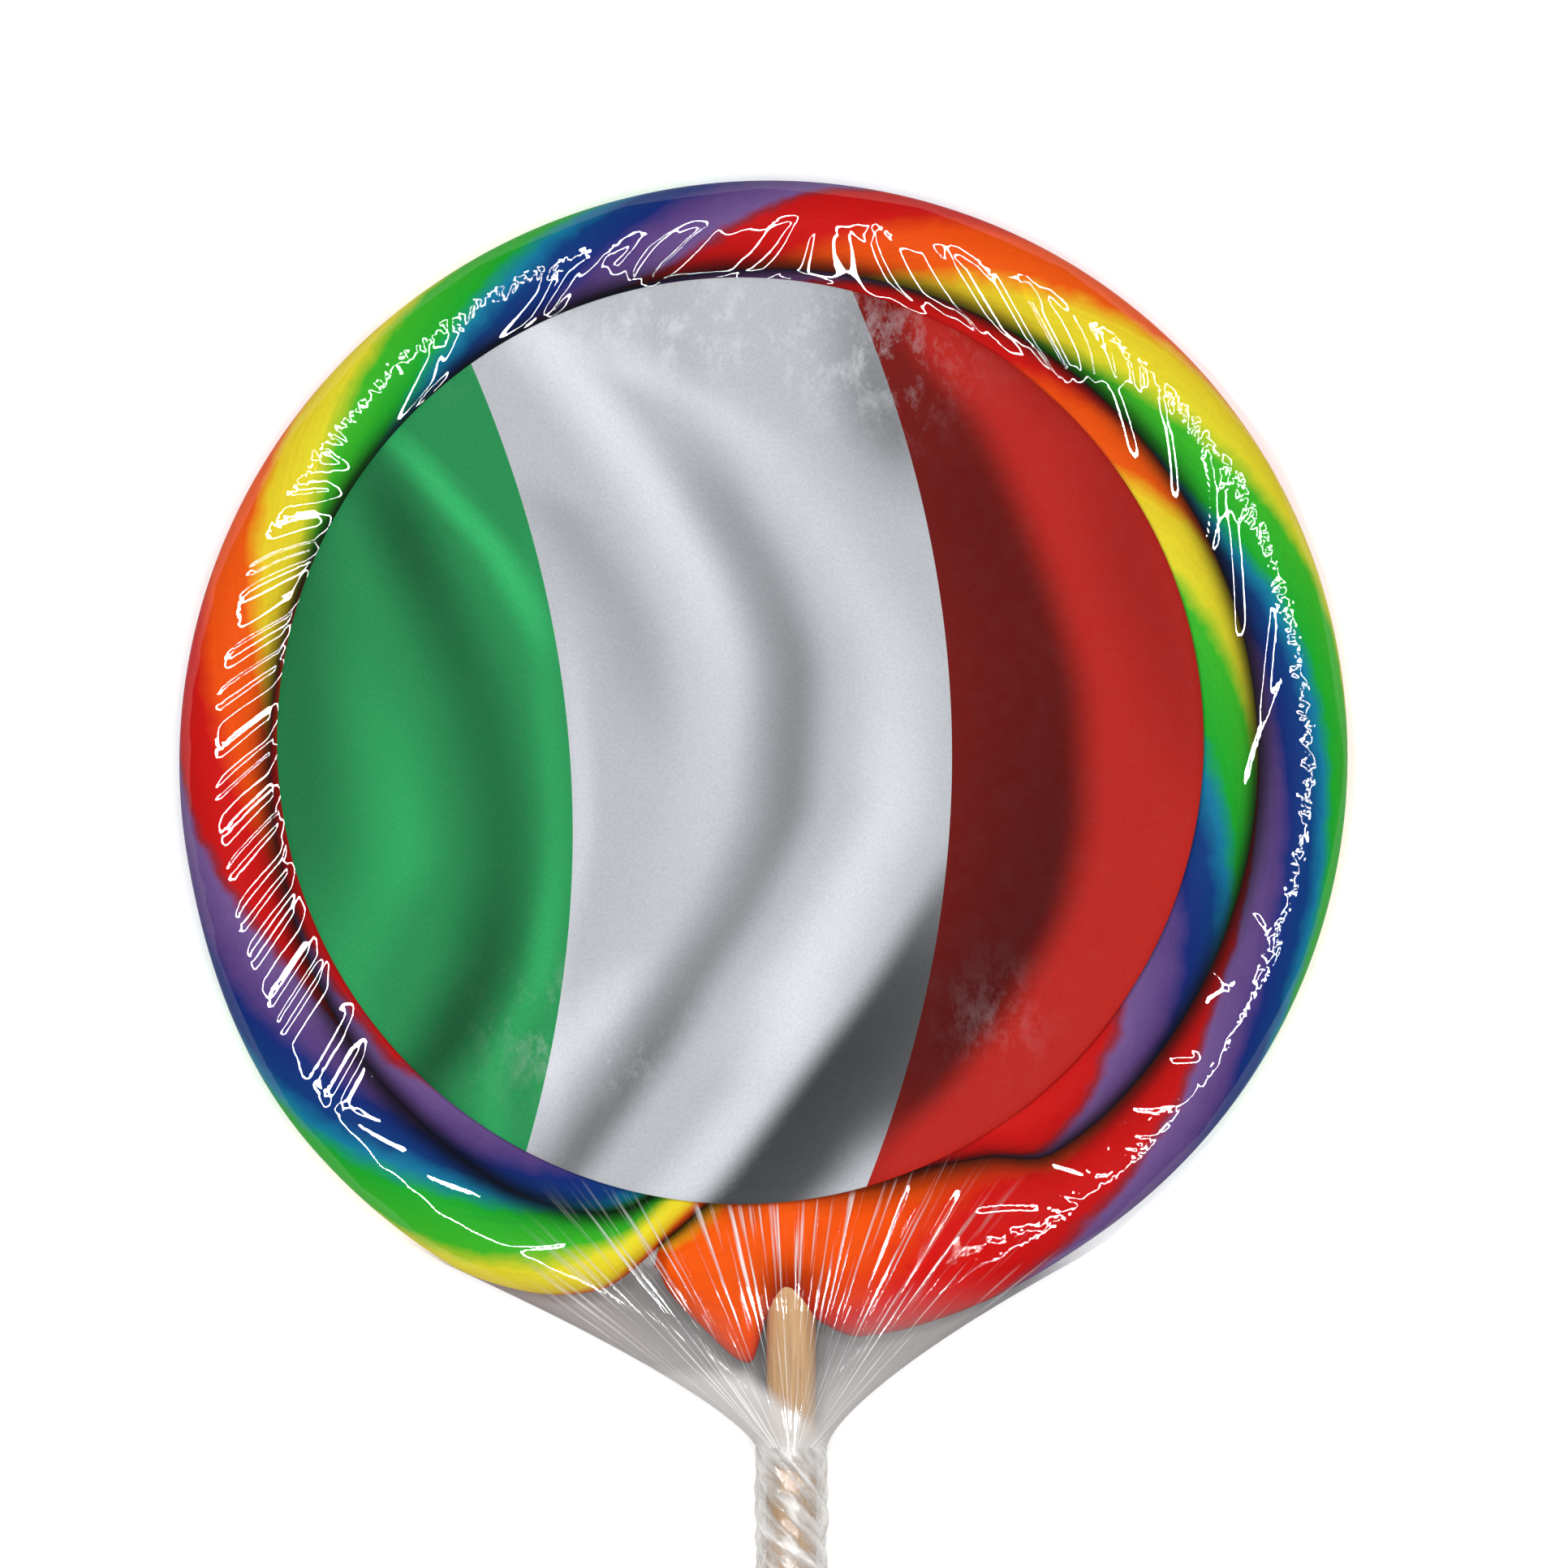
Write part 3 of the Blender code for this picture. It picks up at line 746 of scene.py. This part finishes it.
def add_creases(x, y, rng):
    """Height of all the creases round the disc. One in three is a shallower valley."""
    total = np.zeros_like(x)
    for first, last, count, outer, inner, shift, width, height in CREASES:
        for k in range(count):
            clock = first + (last - first) * (k + rng.uniform(0.1, 0.9)) / count
            crest = crest_radius(clock)
            start = at_clock(crest + rng.uniform(*outer), clock)
            end = at_clock(crest + rng.uniform(*inner), clock + rng.uniform(*shift))
            size = rng.uniform(0.7, 1.3)
            bow = rng.uniform(-0.08, 0.08) * math.hypot(*(end - start))
            middle = (start + end) / 2
            reach = math.hypot(*(end - start)) / 2 + 4 * width * size
            near = (abs(x - middle[0]) < reach) & (abs(y - middle[1]) < reach)
            tall = height * size * rng.choice((1, 1, -0.6))
            total[near] += crease_height(x[near], y[near], start, end, bow, width * size, tall)
    return total


def add_waves(x, y, rng):
    """Height of the gathers, where each point lies along their row, and how strong they are there."""
    clock = clock_of(x, y)
    inward = crest_radius(clock) - np.hypot(x, y)
    clocks, lengths, slopes, leans, outwards, inwards = np.array(WAVES).T
    place = clock - np.interp(clock, clocks, leans) * np.clip(inward, -0.004, 0.009)
    fine = np.linspace(0, 360, 3601)
    passed = np.cumsum(0.1 / np.interp(fine, clocks, lengths))
    phase = np.interp(place, fine, passed) + 0.30 * ripple(rng, place, (20, 60), 8)
    uneven = np.clip(0.82 + 0.34 * ripple(rng, place, (30, 100), 8), 0.2, 1.4)
    steepness = np.interp(place, clocks, slopes) * uneven
    length = np.interp(place, clocks, lengths) * math.radians(1) * DISC_RADIUS
    wander = 0.0007 * ripple(rng, place, (60, 160), 8)
    share = smooth_step((np.interp(clock, clocks, outwards) - wander + inward) / 0.0025)
    share *= smooth_step((np.interp(clock, clocks, inwards) - wander - inward) / 0.0020)
    share *= smooth_step((clock - GATHERS_START) / GATHERS_FADE)
    share *= smooth_step((GATHERS_END - clock) / GATHERS_FADE)
    return share * steepness * length / (2 * math.pi) * np.sin(2 * math.pi * phase), place, share


def fan_place(x, y):
    """Place in the funnel's fan of pleats, from -1 at its left side to 1 at its right side."""
    down = np.maximum(y - (NECK_Y - FAN_DEPTH), 0.0005)
    return np.degrees(np.arctan2(x - STICK_X, down)) / FAN_HALF


def fan_share(x, y):
    """How strongly a point lies in the fan: it fades out towards the label and past the fan's sides."""
    reach = np.hypot(x - STICK_X, y - NECK_Y)
    return smooth_step((FAN_REACH - reach) / FAN_FADE) * smooth_step((1.15 - abs(fan_place(x, y))) / 0.12)


def add_pleats(x, y, rng):
    """Height of the broad straight pleats that run from the disc to the neck."""
    height = np.zeros_like(x)
    near = y < PLEATS_Y
    place = fan_place(x[near], y[near])
    reach = np.hypot(x[near] - STICK_X, y[near] - NECK_Y + FAN_DEPTH)
    for first, last, count, width, tall in PLEATS:
        for k in range(count):
            middle = first + (last - first) * (k + rng.uniform(0.1, 0.9)) / count
            size = rng.uniform(0.6, 1.5)
            far = rng.uniform(0.020, 0.046)
            ridge = np.exp(-(((place - middle) / (width * size)) ** 2))
            ridge *= smooth_step((far - reach) / 0.006) * smooth_step((y[near] - NECK_Y) / 0.002)
            height[near] += ridge * tall * size * np.minimum(reach / 0.030, 1.3)
    return height


def crinkle_share(x, y):
    """How crinkled the film is where it lies on the outer rope's crest."""
    clock = clock_of(x, y)
    away = np.hypot(x, y) - crest_radius(clock) - CRINKLE_SHIFT
    return np.interp(clock, *np.array(CRINKLES).T) * np.exp(-((away / CRINKLE_HALF_WIDTH) ** 2))


def rim_haze(x, y):
    """Milkiness of the film where it stands off the candy's rim."""
    turned = turned_clock(x, y)
    candy = edge_radius(TURNS - 1, turned) * pressed_in(turned)
    gap = np.clip((wrap_edge(turned) - candy) / 0.0010, 0, 1)
    return RIM_HAZE * gap * smooth_step((np.hypot(x, y) - candy + 0.0003) / 0.0005) * (y > FUNNEL_START_Y)


def film_haze(x, y):
    """Milkiness and lightness of the front: clear on the candy, milky beside the stick and at the neck."""
    down = smooth_step((FUNNEL_START_Y - y) / 0.022)
    beside = smooth_step((abs(funnel_place(x, y)) - 0.12) / 0.5)
    edge = NECK_COVER - NECK_COVER_LEAN * np.clip(x - STICK_X, -0.006, 0.006)
    covered = smooth_step((edge - (y - NECK_Y)) / NECK_COVER_FADE + 0.5)
    haze = CLEAR_HAZE + down * (STICK_HAZE + FUNNEL_HAZE * beside) + rim_haze(x, y)
    return haze + (NECK_HAZE - haze) * covered, np.full_like(x, NECK_TONE)


def back_haze_and_painted_shade(x, y):
    """Milkiness and lightness of the back: its gathered layers are milky behind the funnel, and its colour
    is darkened to grey there as painted shade, less near the neck and the sides.
    """
    down = smooth_step((FUNNEL_START_Y + 0.004 - y) / 0.008)
    near_neck = smooth_step((-0.078 - y) / 0.012)
    near_side = smooth_step((abs(funnel_place(x, y)) - 0.45) / 0.45)
    return CLEAR_HAZE + BACK_HAZE * down, 0.10 + 0.26 * near_neck + 0.26 * near_side


def surface_normals(grid):
    """Unit normals of a grid of points that closes on itself across its columns."""
    along_rows = np.gradient(grid, axis=0)
    along_columns = np.roll(grid, -1, axis=1) - np.roll(grid, 1, axis=1)
    normals = np.cross(along_rows, along_columns)
    lengths = np.linalg.norm(normals, axis=-1, keepdims=True)
    return normals / np.maximum(lengths, 1e-12)


def row_shares(length, rim):
    """How far along its line from the label's edge to the outline each row lies, closer near the rim."""
    rim_width = ROPE_HALF_HEIGHT + CLEARANCE
    flat_rows = FILM_ROWS - RIM_ROWS
    flat = np.linspace(0, 1, flat_rows, endpoint=False)[:, None] * (1 - rim_width / length)
    turn = np.linspace(0, math.pi / 2, RIM_ROWS)[:, None]
    curved = 1 - rim_width / length * (1 - np.sin(turn))
    shaped = np.concatenate((flat, curved))
    plain = np.linspace(0, 1, FILM_ROWS)[:, None]
    return shaped * rim + plain * (1 - rim)


def sheet_plan(thinning):
    """Rows of points from the label's middle out to the film's outline, and the neck ring's height."""
    outline, rise, rim = film_outline(thinning)
    offset = outline - (LABEL_X, LABEL_Y)
    reach = np.hypot(offset[:, 0], offset[:, 1])
    way = offset / reach[:, None]
    distances = FILM_START + row_shares(reach - FILM_START, rim) * (reach - FILM_START)
    middle = np.array(MIDDLE_ROWS)[:, None] * FILM_START * np.ones(len(reach))
    distances = np.concatenate((middle, distances))
    return LABEL_X + distances * way[:, 0], LABEL_Y + distances * way[:, 1], rise


def make_film_sheet(name, front, thinning, material):
    """The front or the back of the film: a smooth sheet, raised and sunk by its wrinkles."""
    rng = np.random.default_rng(SEED + (0 if front else 1))
    plan_x, plan_y, rise = sheet_plan(thinning)
    x, y = plan_x.ravel(), plan_y.ravel()
    inside = distance_inside(x, y)
    half = front_height(x, y, rng) - MIDDLE_Z if front else back_height(x, y)
    depth = np.minimum(inside / half, 1)
    z = (half * np.sqrt(1 - (1 - depth) ** 2)).reshape(plan_x.shape)
    z[-1] = rise
    side = 1 if front else -1
    grid = np.stack((plan_x, plan_y, MIDDLE_Z + side * z), axis=-1)
    waves, wave_place, wave_share = add_waves(x, y, rng)
    height = waves + add_creases(x, y, rng) + add_pleats(x, y, rng)
    past_label = np.hypot(x - LABEL_X, y - LABEL_Y) - LABEL_RADIUS
    fade = smooth_step(inside / EDGE_FADE) * smooth_step(past_label / LABEL_FADE)
    height = (height * fade).reshape(plan_x.shape)
    height[-1] = 0
    normals = surface_normals(grid)
    normals *= np.sign(normals[..., 2:] + 1e-9) * side
    if front:
        grid = grid + normals * height[..., None]
    else:
        grid = grid - normals * (BACK_RELIEF * height)[..., None]
        grid[..., 2] = np.maximum(grid[..., 2], LOWEST_FILM)
    faces = ring_quads(*plan_x.shape)
    haze, tone = film_haze(x, y) if front else back_haze_and_painted_shade(x, y)
    fan = fan_share(x, y)
    attributes = {
        "haze": haze,
        "tone": tone,
        "fan_place": fan_place(x, y),
        "fan_share": fan * fade,
        "fan_gloss": fan,
        "fan_relief": fan * fade * smooth_step((y - NECK_Y - 0.004) / 0.012),
        "wave_place": wave_place,
        "wave_share": wave_share * fade,
        "crinkle": crinkle_share(x, y) * fade,
    }
    faces = faces if front else faces[:, ::-1]
    add_piece(name, grid, faces, material, "film_wrap", attributes, merge=True)


def tail_folds(rng, angle, down, counts, depth):
    """Depth of the twisted tail's folds: creased valleys that wind round the stick."""
    total = np.zeros(np.broadcast(angle, down).shape)
    for count, share in counts:
        drift = 1.1 * np.sin(down / rng.uniform(0.0025, 0.006) + rng.uniform(0, 6.3))
        drift = drift + 0.8 * np.sin(down / rng.uniform(0.0012, 0.0025) + angle + rng.uniform(0, 6.3))
        phase = count * angle + drift + rng.uniform(0, 6.3)
        total += share * np.abs(np.cos(phase / 2)) ** 0.8
    return depth * total


def make_tail(name, radius, depth, counts, seed, haze, material):
    """A sheet twisted round the stick, from the neck to its loose end, which flares and is ragged."""
    rng = np.random.default_rng(seed)
    down = np.linspace(-TAIL_OVERLAP, NECK_Y - TAIL_END_Y, TAIL_ROWS)[:, None]
    angle = np.linspace(0, 2 * math.pi, TAIL_COLUMNS, endpoint=False)[None, :]
    twist = 2 * math.pi * down / TAIL_TWIST_LENGTH
    folds = tail_folds(rng, angle + twist, down, counts, depth)
    start = smooth_step(down / TAIL_FOLDS_START)
    flare = smooth_step((down - FLARE_START) / FLARE_LENGTH)
    size = TAIL_RADIUS - 0.0001 + (radius - TAIL_RADIUS + 0.0001 - folds) * start + FLARE_WIDTH * flare
    ragged = 0.0008 * flare * np.sin(3 * angle + 1) + 0.0004 * flare * np.sin(7 * angle)
    x = STICK_X + size * np.cos(angle)
    z = MIDDLE_Z + size * np.sin(angle)
    y = NECK_Y - down + ragged + 0 * angle
    valley = folds / depth + 0 * down
    attributes = {
        "haze": NECK_HAZE + start * (np.clip(haze + 0.6 * (0.6 - valley), 0.08, 0.92) - NECK_HAZE),
        # Painted shade: the film's colour is darker in the folds' valleys
        "tone": NECK_TONE + start * (np.clip(1.15 - 0.6 * valley, 0.4, 0.98) - NECK_TONE),
        "twist_x": np.cos(angle + twist),
        "twist_y": np.sin(angle + twist),
    }
    points = np.stack((x, y, z), axis=-1)
    faces = ring_quads(TAIL_ROWS, TAIL_COLUMNS)
    add_piece(name, points, faces, material, "film_wrap", attributes)


def facing_gloss(nodes, face_on, edge_on):
    """Strength of the film's reflections, seen face on and edge on."""
    facing = nodes.add("ShaderNodeLayerWeight", {"Blend": 0.5}).outputs["Facing"]
    return nodes.spread(facing, 0.10, 0.55, face_on, edge_on)


def finish_film(nodes, haze, grey, gloss, relief, relief_height, roughness):
    """Film that is clear or milky by its haze, under reflections by its gloss."""
    clear = nodes.add("ShaderNodeBsdfTransparent", {"Color": (1, 1, 1, 1)})
    values = {"Base Color": grey, "Roughness": 0.4, "Specular IOR Level": 0.2}
    milk = nodes.add("ShaderNodeBsdfPrincipled", values)
    body = nodes.add("ShaderNodeMixShader", {0: haze, 1: clear.outputs[0], 2: milk.outputs[0]})
    values = {"Color": (1, 1, 1, 1), "Roughness": roughness, "Normal": nodes.bump(relief, relief_height)}
    shine = nodes.add("ShaderNodeBsdfGlossy", values)
    values = {0: gloss, 1: body.outputs[0], 2: shine.outputs[0]}
    return nodes.finish(nodes.add("ShaderNodeMixShader", values))


def film_material():
    """Clear film: sharp reflections, fine pleats and gathers, and a milky share where the layers gather."""
    nodes = Nodes("clear_wrinkled_film")
    along = nodes.add("ShaderNodeSeparateXYZ", {0: nodes.place()}).outputs[1]
    pleat_point = nodes.vector(nodes.times("fan_place", 55.0), nodes.times(along, 40.0))
    pleats = nodes.noise(pleat_point, 1.0, 3.0, 0.55)
    streak = nodes.times(nodes.times(nodes.spread(pleats, 0.56, 0.70), "fan_share"), 0.65)
    haze = nodes.math("MINIMUM", nodes.plus("haze", streak), 0.92)
    grey = nodes.lit((1.0, 0.985, 0.97), nodes.plus("tone", nodes.times(streak, 0.5)))
    wave_point = nodes.vector(nodes.times("wave_place", 1.3), nodes.times(along, 60.0))
    gathers = nodes.times(nodes.noise(wave_point, 1.0, 2.0), "wave_share")
    crinkles = nodes.times(nodes.noise(nodes.place(), 800, 1.0), "crinkle")
    relief = nodes.plus(nodes.times(pleats, nodes.times("fan_relief", 0.28)), crinkles)
    relief = nodes.plus(relief, nodes.times(gathers, 0.03))
    dull = nodes.times("fan_gloss", nodes.spread(pleats, 0.54, 0.64, 1.0, 0.0))
    gloss = nodes.times(facing_gloss(nodes, 0.055, 0.015), nodes.math("SUBTRACT", 1.0, dull))
    return finish_film(nodes, haze, grey, gloss, relief, 0.0001, 0.02)


def tail_material():
    """Film twisted into many layers: milky ridges, clearer valleys with painted shade, and sharp streaks
    along the twist.
    """
    nodes = Nodes("twisted_film")
    along = nodes.add("ShaderNodeSeparateXYZ", {0: nodes.place()}).outputs[1]
    point = nodes.vector("twist_x", "twist_y", nodes.times(along, 120.0))
    streaks = nodes.noise(point, 3.2, 4.0, 0.6)
    haze = nodes.plus("haze", nodes.spread(streaks, 0.35, 0.68, -0.28, 0.30))
    haze = nodes.math("MAXIMUM", nodes.math("MINIMUM", haze, 0.95), 0.05)
    grey = nodes.lit((1.0, 0.985, 0.965), "tone")
    return finish_film(nodes, haze, grey, facing_gloss(nodes, 0.070, 0.018), streaks, 0.0004, 0.08)


def make_film():
    """The wrap: its front, its back, and two sheets twisted round the stick."""
    sheet, twisted = film_material(), tail_material()
    make_film_sheet("film_front", True, 1, sheet)
    make_film_sheet("film_back", False, 2, sheet)
    make_tail("film_tail", 0.0054, 0.0013, ((2, 0.25), (5, 0.35), (9, 0.25), (16, 0.15)), 3, 0.50, twisted)
    make_tail("film_tail_inner", 0.0042, 0.0005, ((4, 0.5), (7, 0.5)), 4, 0.20, twisted)


# Printed folds of the flag, by colour field, in millimetres: half width to the left and to the right,
# and places along the fold as (x, y, gain in light)
WHITE_FOLDS = (
    (9, 6.5, (
        (-34, 62, 0.42), (-26.5, 52, 0.5), (-14, 34, 0.44), (-6.5, 18, 0.34), (-5, 10, 0.25),
        (-7.5, -7, 0.16), (-14, -23, 0.08), (-22, -34, 0.34), (-36, -54, 0.24),
    )),
    (8, 8, ((-24, 60, 0), (-16, 50, 0.34), (-8, 45, 0.2), (0, 36, 0))),
    (8, 6, ((-31, 38, 0), (-25, 30, -0.24), (-16.5, 14, -0.21), (-14, -4, 0))),
    (3, 3, ((-27, 24, 0), (-24.5, 8, 0.2), (-23.5, -8, 0.28), (-27, -32, 0.1))),
    (8.5, 6, (
        (-10, 44, -0.04), (-4.5, 32, -0.32), (1, 22, -0.39), (4.3, 10, -0.49), (3.4, -5, -0.51),
        (-2, -18, -0.44), (-8.5, -28, -0.49), (-15, -39, -0.6), (-24, -51.5, -0.64),
        (-31, -62, -0.6),
    )),
    (7.5, 9.5, (
        (-6, 50, 0.05), (1, 38, 0.22), (10, 25, 0.22), (16.5, 10, 0.28), (16.5, -4, 0.4),
        (10, -19, 0.42), (3.5, -29, 0.42), (-1.5, -38, 0.18), (-5, -44, 0),
    )),
    (7, 7.5, ((17, -12, 0), (10, -27, 0.14), (3, -38, 0.32), (-6, -50.5, 0.38), (-14, -62, 0.34))),
    (5.2, 60, (
        (34, -2, 0), (27.5, -12, -0.38), (22.5, -20, -0.7), (16.5, -29.5, -0.86),
        (7.5, -41.5, -0.9), (-2.5, -55, -0.89), (-8, -62, -0.85),
    )),
    (8, 20, ((22, -42, 0), (18, -47, 0.7), (14.5, -53, 2.8), (9, -61, 3.6))),
    (10, 7, ((13.5, 60, -0.42), (16.5, 43, -0.58), (19, 36, -0.25), (22, 28, 0))),
)
GREEN_FOLDS = (
    (4, 4, ((-54, 50, 0.3), (-43, 36, 0.8), (-33, 24, 0.8), (-28, 10, 0.15))),
    (9, 8, (
        (-52, 44, -0.3), (-46, 28, -0.58), (-40.5, 16, -0.46), (-36, 4, -0.4), (-33.5, -12, -0.42),
        (-35, -24, -0.56), (-40, -36, -0.66), (-45, -45, -0.6),
    )),
    (9, 10, ((-62, 34, -0.45), (-61, 12, -0.38), (-60, -10, -0.32), (-60, -26, 0))),
    (9, 6, ((-53, 18, 0), (-47.5, 0, 0.28), (-46, -12, 0.42), (-50, -22, 0.26), (-54, -32, 0.24))),
    (3, 4, ((-29, 20, 0.1), (-26.5, -8, 0.2), (-29, -26, 0.35), (-35, -44, 0.35))),
)
RED_FOLDS = (
    (60, 6.5, (
        (16, 56, -0.6), (25.5, 42, -0.7), (31, 30, -0.75), (35.5, 18, -0.75), (38.2, 6, -0.77),
        (38.5, -6, -0.8), (36.5, -18, -0.82), (30.5, -30, -0.83), (21.5, -42, -0.78),
        (10, -56, -0.4),
    )),
    (10, 10, (
        (30, 58, -0.35), (40, 46, -0.3), (45, 40, -0.25), (49, 24, -0.27), (55, 6, -0.22),
        (58, -12, 0),
    )),
)
# Painted sheen on the paper, pale cloudy patches painted into its colour where the lamps are reflected:
# middle, half widths and strength
LABEL_PAINTED_GLARE = (
    (-0.010, 0.055, 0.022, 0.006, 0.80),
    (0.012, 0.050, 0.009, 0.007, 0.50),
    (-0.021, -0.036, 0.010, 0.007, 0.55),
    (0.030, -0.034, 0.006, 0.006, 0.12),
)


def folds_light(x, y, folds):
    """Light on the printed folds, 1 on the plain print."""
    light = np.ones_like(x)
    for left, right, places in folds:
        ordered = sorted(places, key=lambda place: place[1])
        away = 1000 * x - through([(place[1], place[0]) for place in ordered], 1000 * y)
        gain = through([(place[1], place[2]) for place in ordered], 1000 * y)
        light *= 1 + gain * (1 - smooth_step(np.where(away < 0, -away / left, away / right)))
    return light


def label_material():
    """Coated paper, printed in three colour fields with soft folds, with a fine mottled grain."""
    nodes = Nodes("printed_paper")
    place = nodes.place()
    grain = nodes.noise(place, 2600, 3.0, 0.6)
    mottle = nodes.noise(place, 420, 4.0, 0.6)
    in_white = nodes.math("GREATER_THAN", "past_green", 0.0)
    in_red = nodes.math("GREATER_THAN", "past_white", 0.0)
    grained = nodes.spread(grain, 0.3, 0.7, 0.92, 1.06)
    grained = nodes.times(grained, nodes.spread(mottle, 0.3, 0.7, 0.985, 1.015))
    green = nodes.lit((0.018, 0.235, 0.072), "green_light")
    white = nodes.lit((0.44, 0.455, 0.485), "white_light")
    red = nodes.lit((0.43, 0.016, 0.011), "red_light")
    fields = nodes.mix(in_red, nodes.mix(in_white, green, white), red)
    # Painted sheen: pale cloudy patches mixed into the paper's colour where the lamps are reflected
    clouds = nodes.noise(nodes.stretched(place, (1.0, 0.6, 1.0)), 260, 7.0, 0.75)
    painted_glare = nodes.times(nodes.spread(clouds, 0.48, 0.72), "painted_glare")
    values = {
        "Base Color": nodes.mix(painted_glare, nodes.lit(fields, grained), (0.72, 0.74, 0.77)),
        "Roughness": nodes.spread(mottle, 0.3, 0.7, 0.50, 0.62),
        "Specular IOR Level": 0.05,
        "Normal": nodes.bump(grain, 0.00002, 0.5),
    }
    return nodes.finish(nodes.add("ShaderNodeBsdfPrincipled", values))


def painted_glare_share(x, y):
    """How strong the painted sheen is at a point of the label."""
    total = np.zeros_like(x)
    for middle_x, middle_y, half_x, half_y, strength in LABEL_PAINTED_GLARE:
        total += strength * np.exp(-(((x - middle_x) / half_x) ** 2) - ((y - middle_y) / half_y) ** 2)
    return total


def make_label():
    """The round paper label as one closed disc with slightly rounded edges."""
    inner = LABEL_RADIUS - LABEL_BEVEL
    radii = np.concatenate((np.linspace(0, inner, LABEL_RINGS), [LABEL_RADIUS] * 2, [inner, 0]))
    heights = [0.0] * LABEL_RINGS + [-0.00006, -LABEL_THICKNESS + 0.00003] + [-LABEL_THICKNESS] * 2
    angle = np.linspace(0, 2 * math.pi, LABEL_COLUMNS, endpoint=False)[None, :]
    x = LABEL_X + radii[:, None] * np.cos(angle)
    y = LABEL_Y + radii[:, None] * np.sin(angle)
    z = LABEL_TOP + np.array(heights)[:, None] + 0 * angle
    attributes = {
        "past_green": x - GREEN_EDGE[0] + FIELD_BOW * (y - GREEN_EDGE[1]) ** 2,
        "past_white": x - RED_EDGE[0] + FIELD_BOW * (y - RED_EDGE[1]) ** 2,
        "green_light": folds_light(x, y, GREEN_FOLDS),
        "white_light": folds_light(x, y, WHITE_FOLDS),
        "red_light": folds_light(x, y, RED_FOLDS),
        "painted_glare": painted_glare_share(x, y),
    }
    points = np.stack((x, y, z), axis=-1)
    faces = ring_quads(*x.shape)[:, ::-1]
    paper = label_material()
    add_piece("printed_label", points, faces, paper, "label", attributes, merge=True)


# Linear colours of the wood, from its darkest to its palest fibres
WOOD_COLOURS = ((0.32, (0.40, 0.215, 0.085)), (0.5, (0.56, 0.34, 0.155)), (0.68, (0.66, 0.43, 0.22)))


def wood_material():
    """Pale birch with fine straight grain along the dowel."""
    nodes = Nodes("birch_dowel")
    place = nodes.place()
    fibres = nodes.noise(nodes.stretched(place, (1.0, 0.05, 1.0)), 2200, 4.0, 0.6)
    bands = nodes.noise(nodes.stretched(place, (1.0, 0.10, 1.0)), 420, 2.0)
    tone = nodes.plus(nodes.times(fibres, 0.6), nodes.times(bands, 0.4))
    values = {
        "Base Color": nodes.ramp(tone, WOOD_COLOURS),
        "Roughness": nodes.spread(fibres, 0.3, 0.7, 0.55, 0.75),
        "Normal": nodes.bump(fibres, 0.00008, 0.7),
    }
    return nodes.finish(nodes.add("ShaderNodeBsdfPrincipled", values))


def dress_stick():
    """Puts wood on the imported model's stick."""
    material = wood_material()
    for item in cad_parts["stick"].material_slots:
        item.material = material


def add_ring_light():
    """Lamps end to end in a ring round the camera's axis, each pointing at the disc's middle."""
    lean = math.radians(RING_LEAN)
    radius = RING_DISTANCE * math.sin(lean)
    for k in range(RING_LAMPS):
        turn = 2 * math.pi * k / RING_LAMPS
        x, y, z = radius * math.sin(turn), radius * math.cos(turn), RING_DISTANCE * math.cos(lean)
        lamp = bpy.data.lights.new(f"ring_{k}", "AREA")
        lamp.shape = "RECTANGLE"
        lamp.size = 2 * radius * math.tan(math.pi / RING_LAMPS)
        lamp.size_y = RING_WIDTH
        lamp.energy = RING_POWER / RING_LAMPS
        made = add_object(f"ring_{k}", lamp)
        made.location = (x, y, z)
        made.rotation_euler = (math.atan2(math.hypot(x, y), z), 0, math.atan2(x, -y))


def make_floor():
    """A pale floor just under the lollipop."""
    mesh = bpy.data.meshes.new("floor")
    corners = [(x * FLOOR_HALF, y * FLOOR_HALF, FLOOR_Z) for x, y in ((-1, -1), (1, -1), (1, 1), (-1, 1))]
    mesh.from_pydata(corners, [], [(0, 1, 2, 3)])
    nodes = Nodes("pale_floor")
    values = {
        "Base Color": (0.92, 0.92, 0.92, 1),
        "Roughness": 0.9,
        "Specular IOR Level": 0.1,
        "Emission Color": (1, 1, 1, 1),
        "Emission Strength": 0.22,
    }
    mesh.materials.append(nodes.finish(nodes.add("ShaderNodeBsdfPrincipled", values)))
    add_object("floor", mesh)


def make_world():
    """A dim white world."""
    world = bpy.data.worlds.new("studio")
    world.use_nodes = True
    background = world.node_tree.nodes["Background"]
    background.inputs["Color"].default_value = (1.0, 1.0, 1.0, 1)
    background.inputs["Strength"].default_value = WORLD_LIGHT
    bpy.context.scene.world = world


def make_camera():
    """A camera straight above the lollipop."""
    camera = bpy.data.cameras.new("camera")
    camera.sensor_width = SENSOR
    camera.lens = SENSOR * CAMERA_DISTANCE / (IMAGE_PIXELS * PIXEL)
    camera.clip_start = 0.01
    made = add_object("camera", camera)
    middle = IMAGE_PIXELS / 2
    x = (middle - DISC_CENTRE_PIXEL[0]) * PIXEL
    y = (DISC_CENTRE_PIXEL[1] - middle) * PIXEL
    made.location = (x, y, MIDDLE_Z + CAMERA_DISTANCE)
    bpy.context.scene.camera = made
    bpy.context.scene.view_settings.view_transform = "Standard"


make_camera()
make_floor()
make_world()
add_ring_light()
make_candy()
make_film()
make_label()
dress_stick()
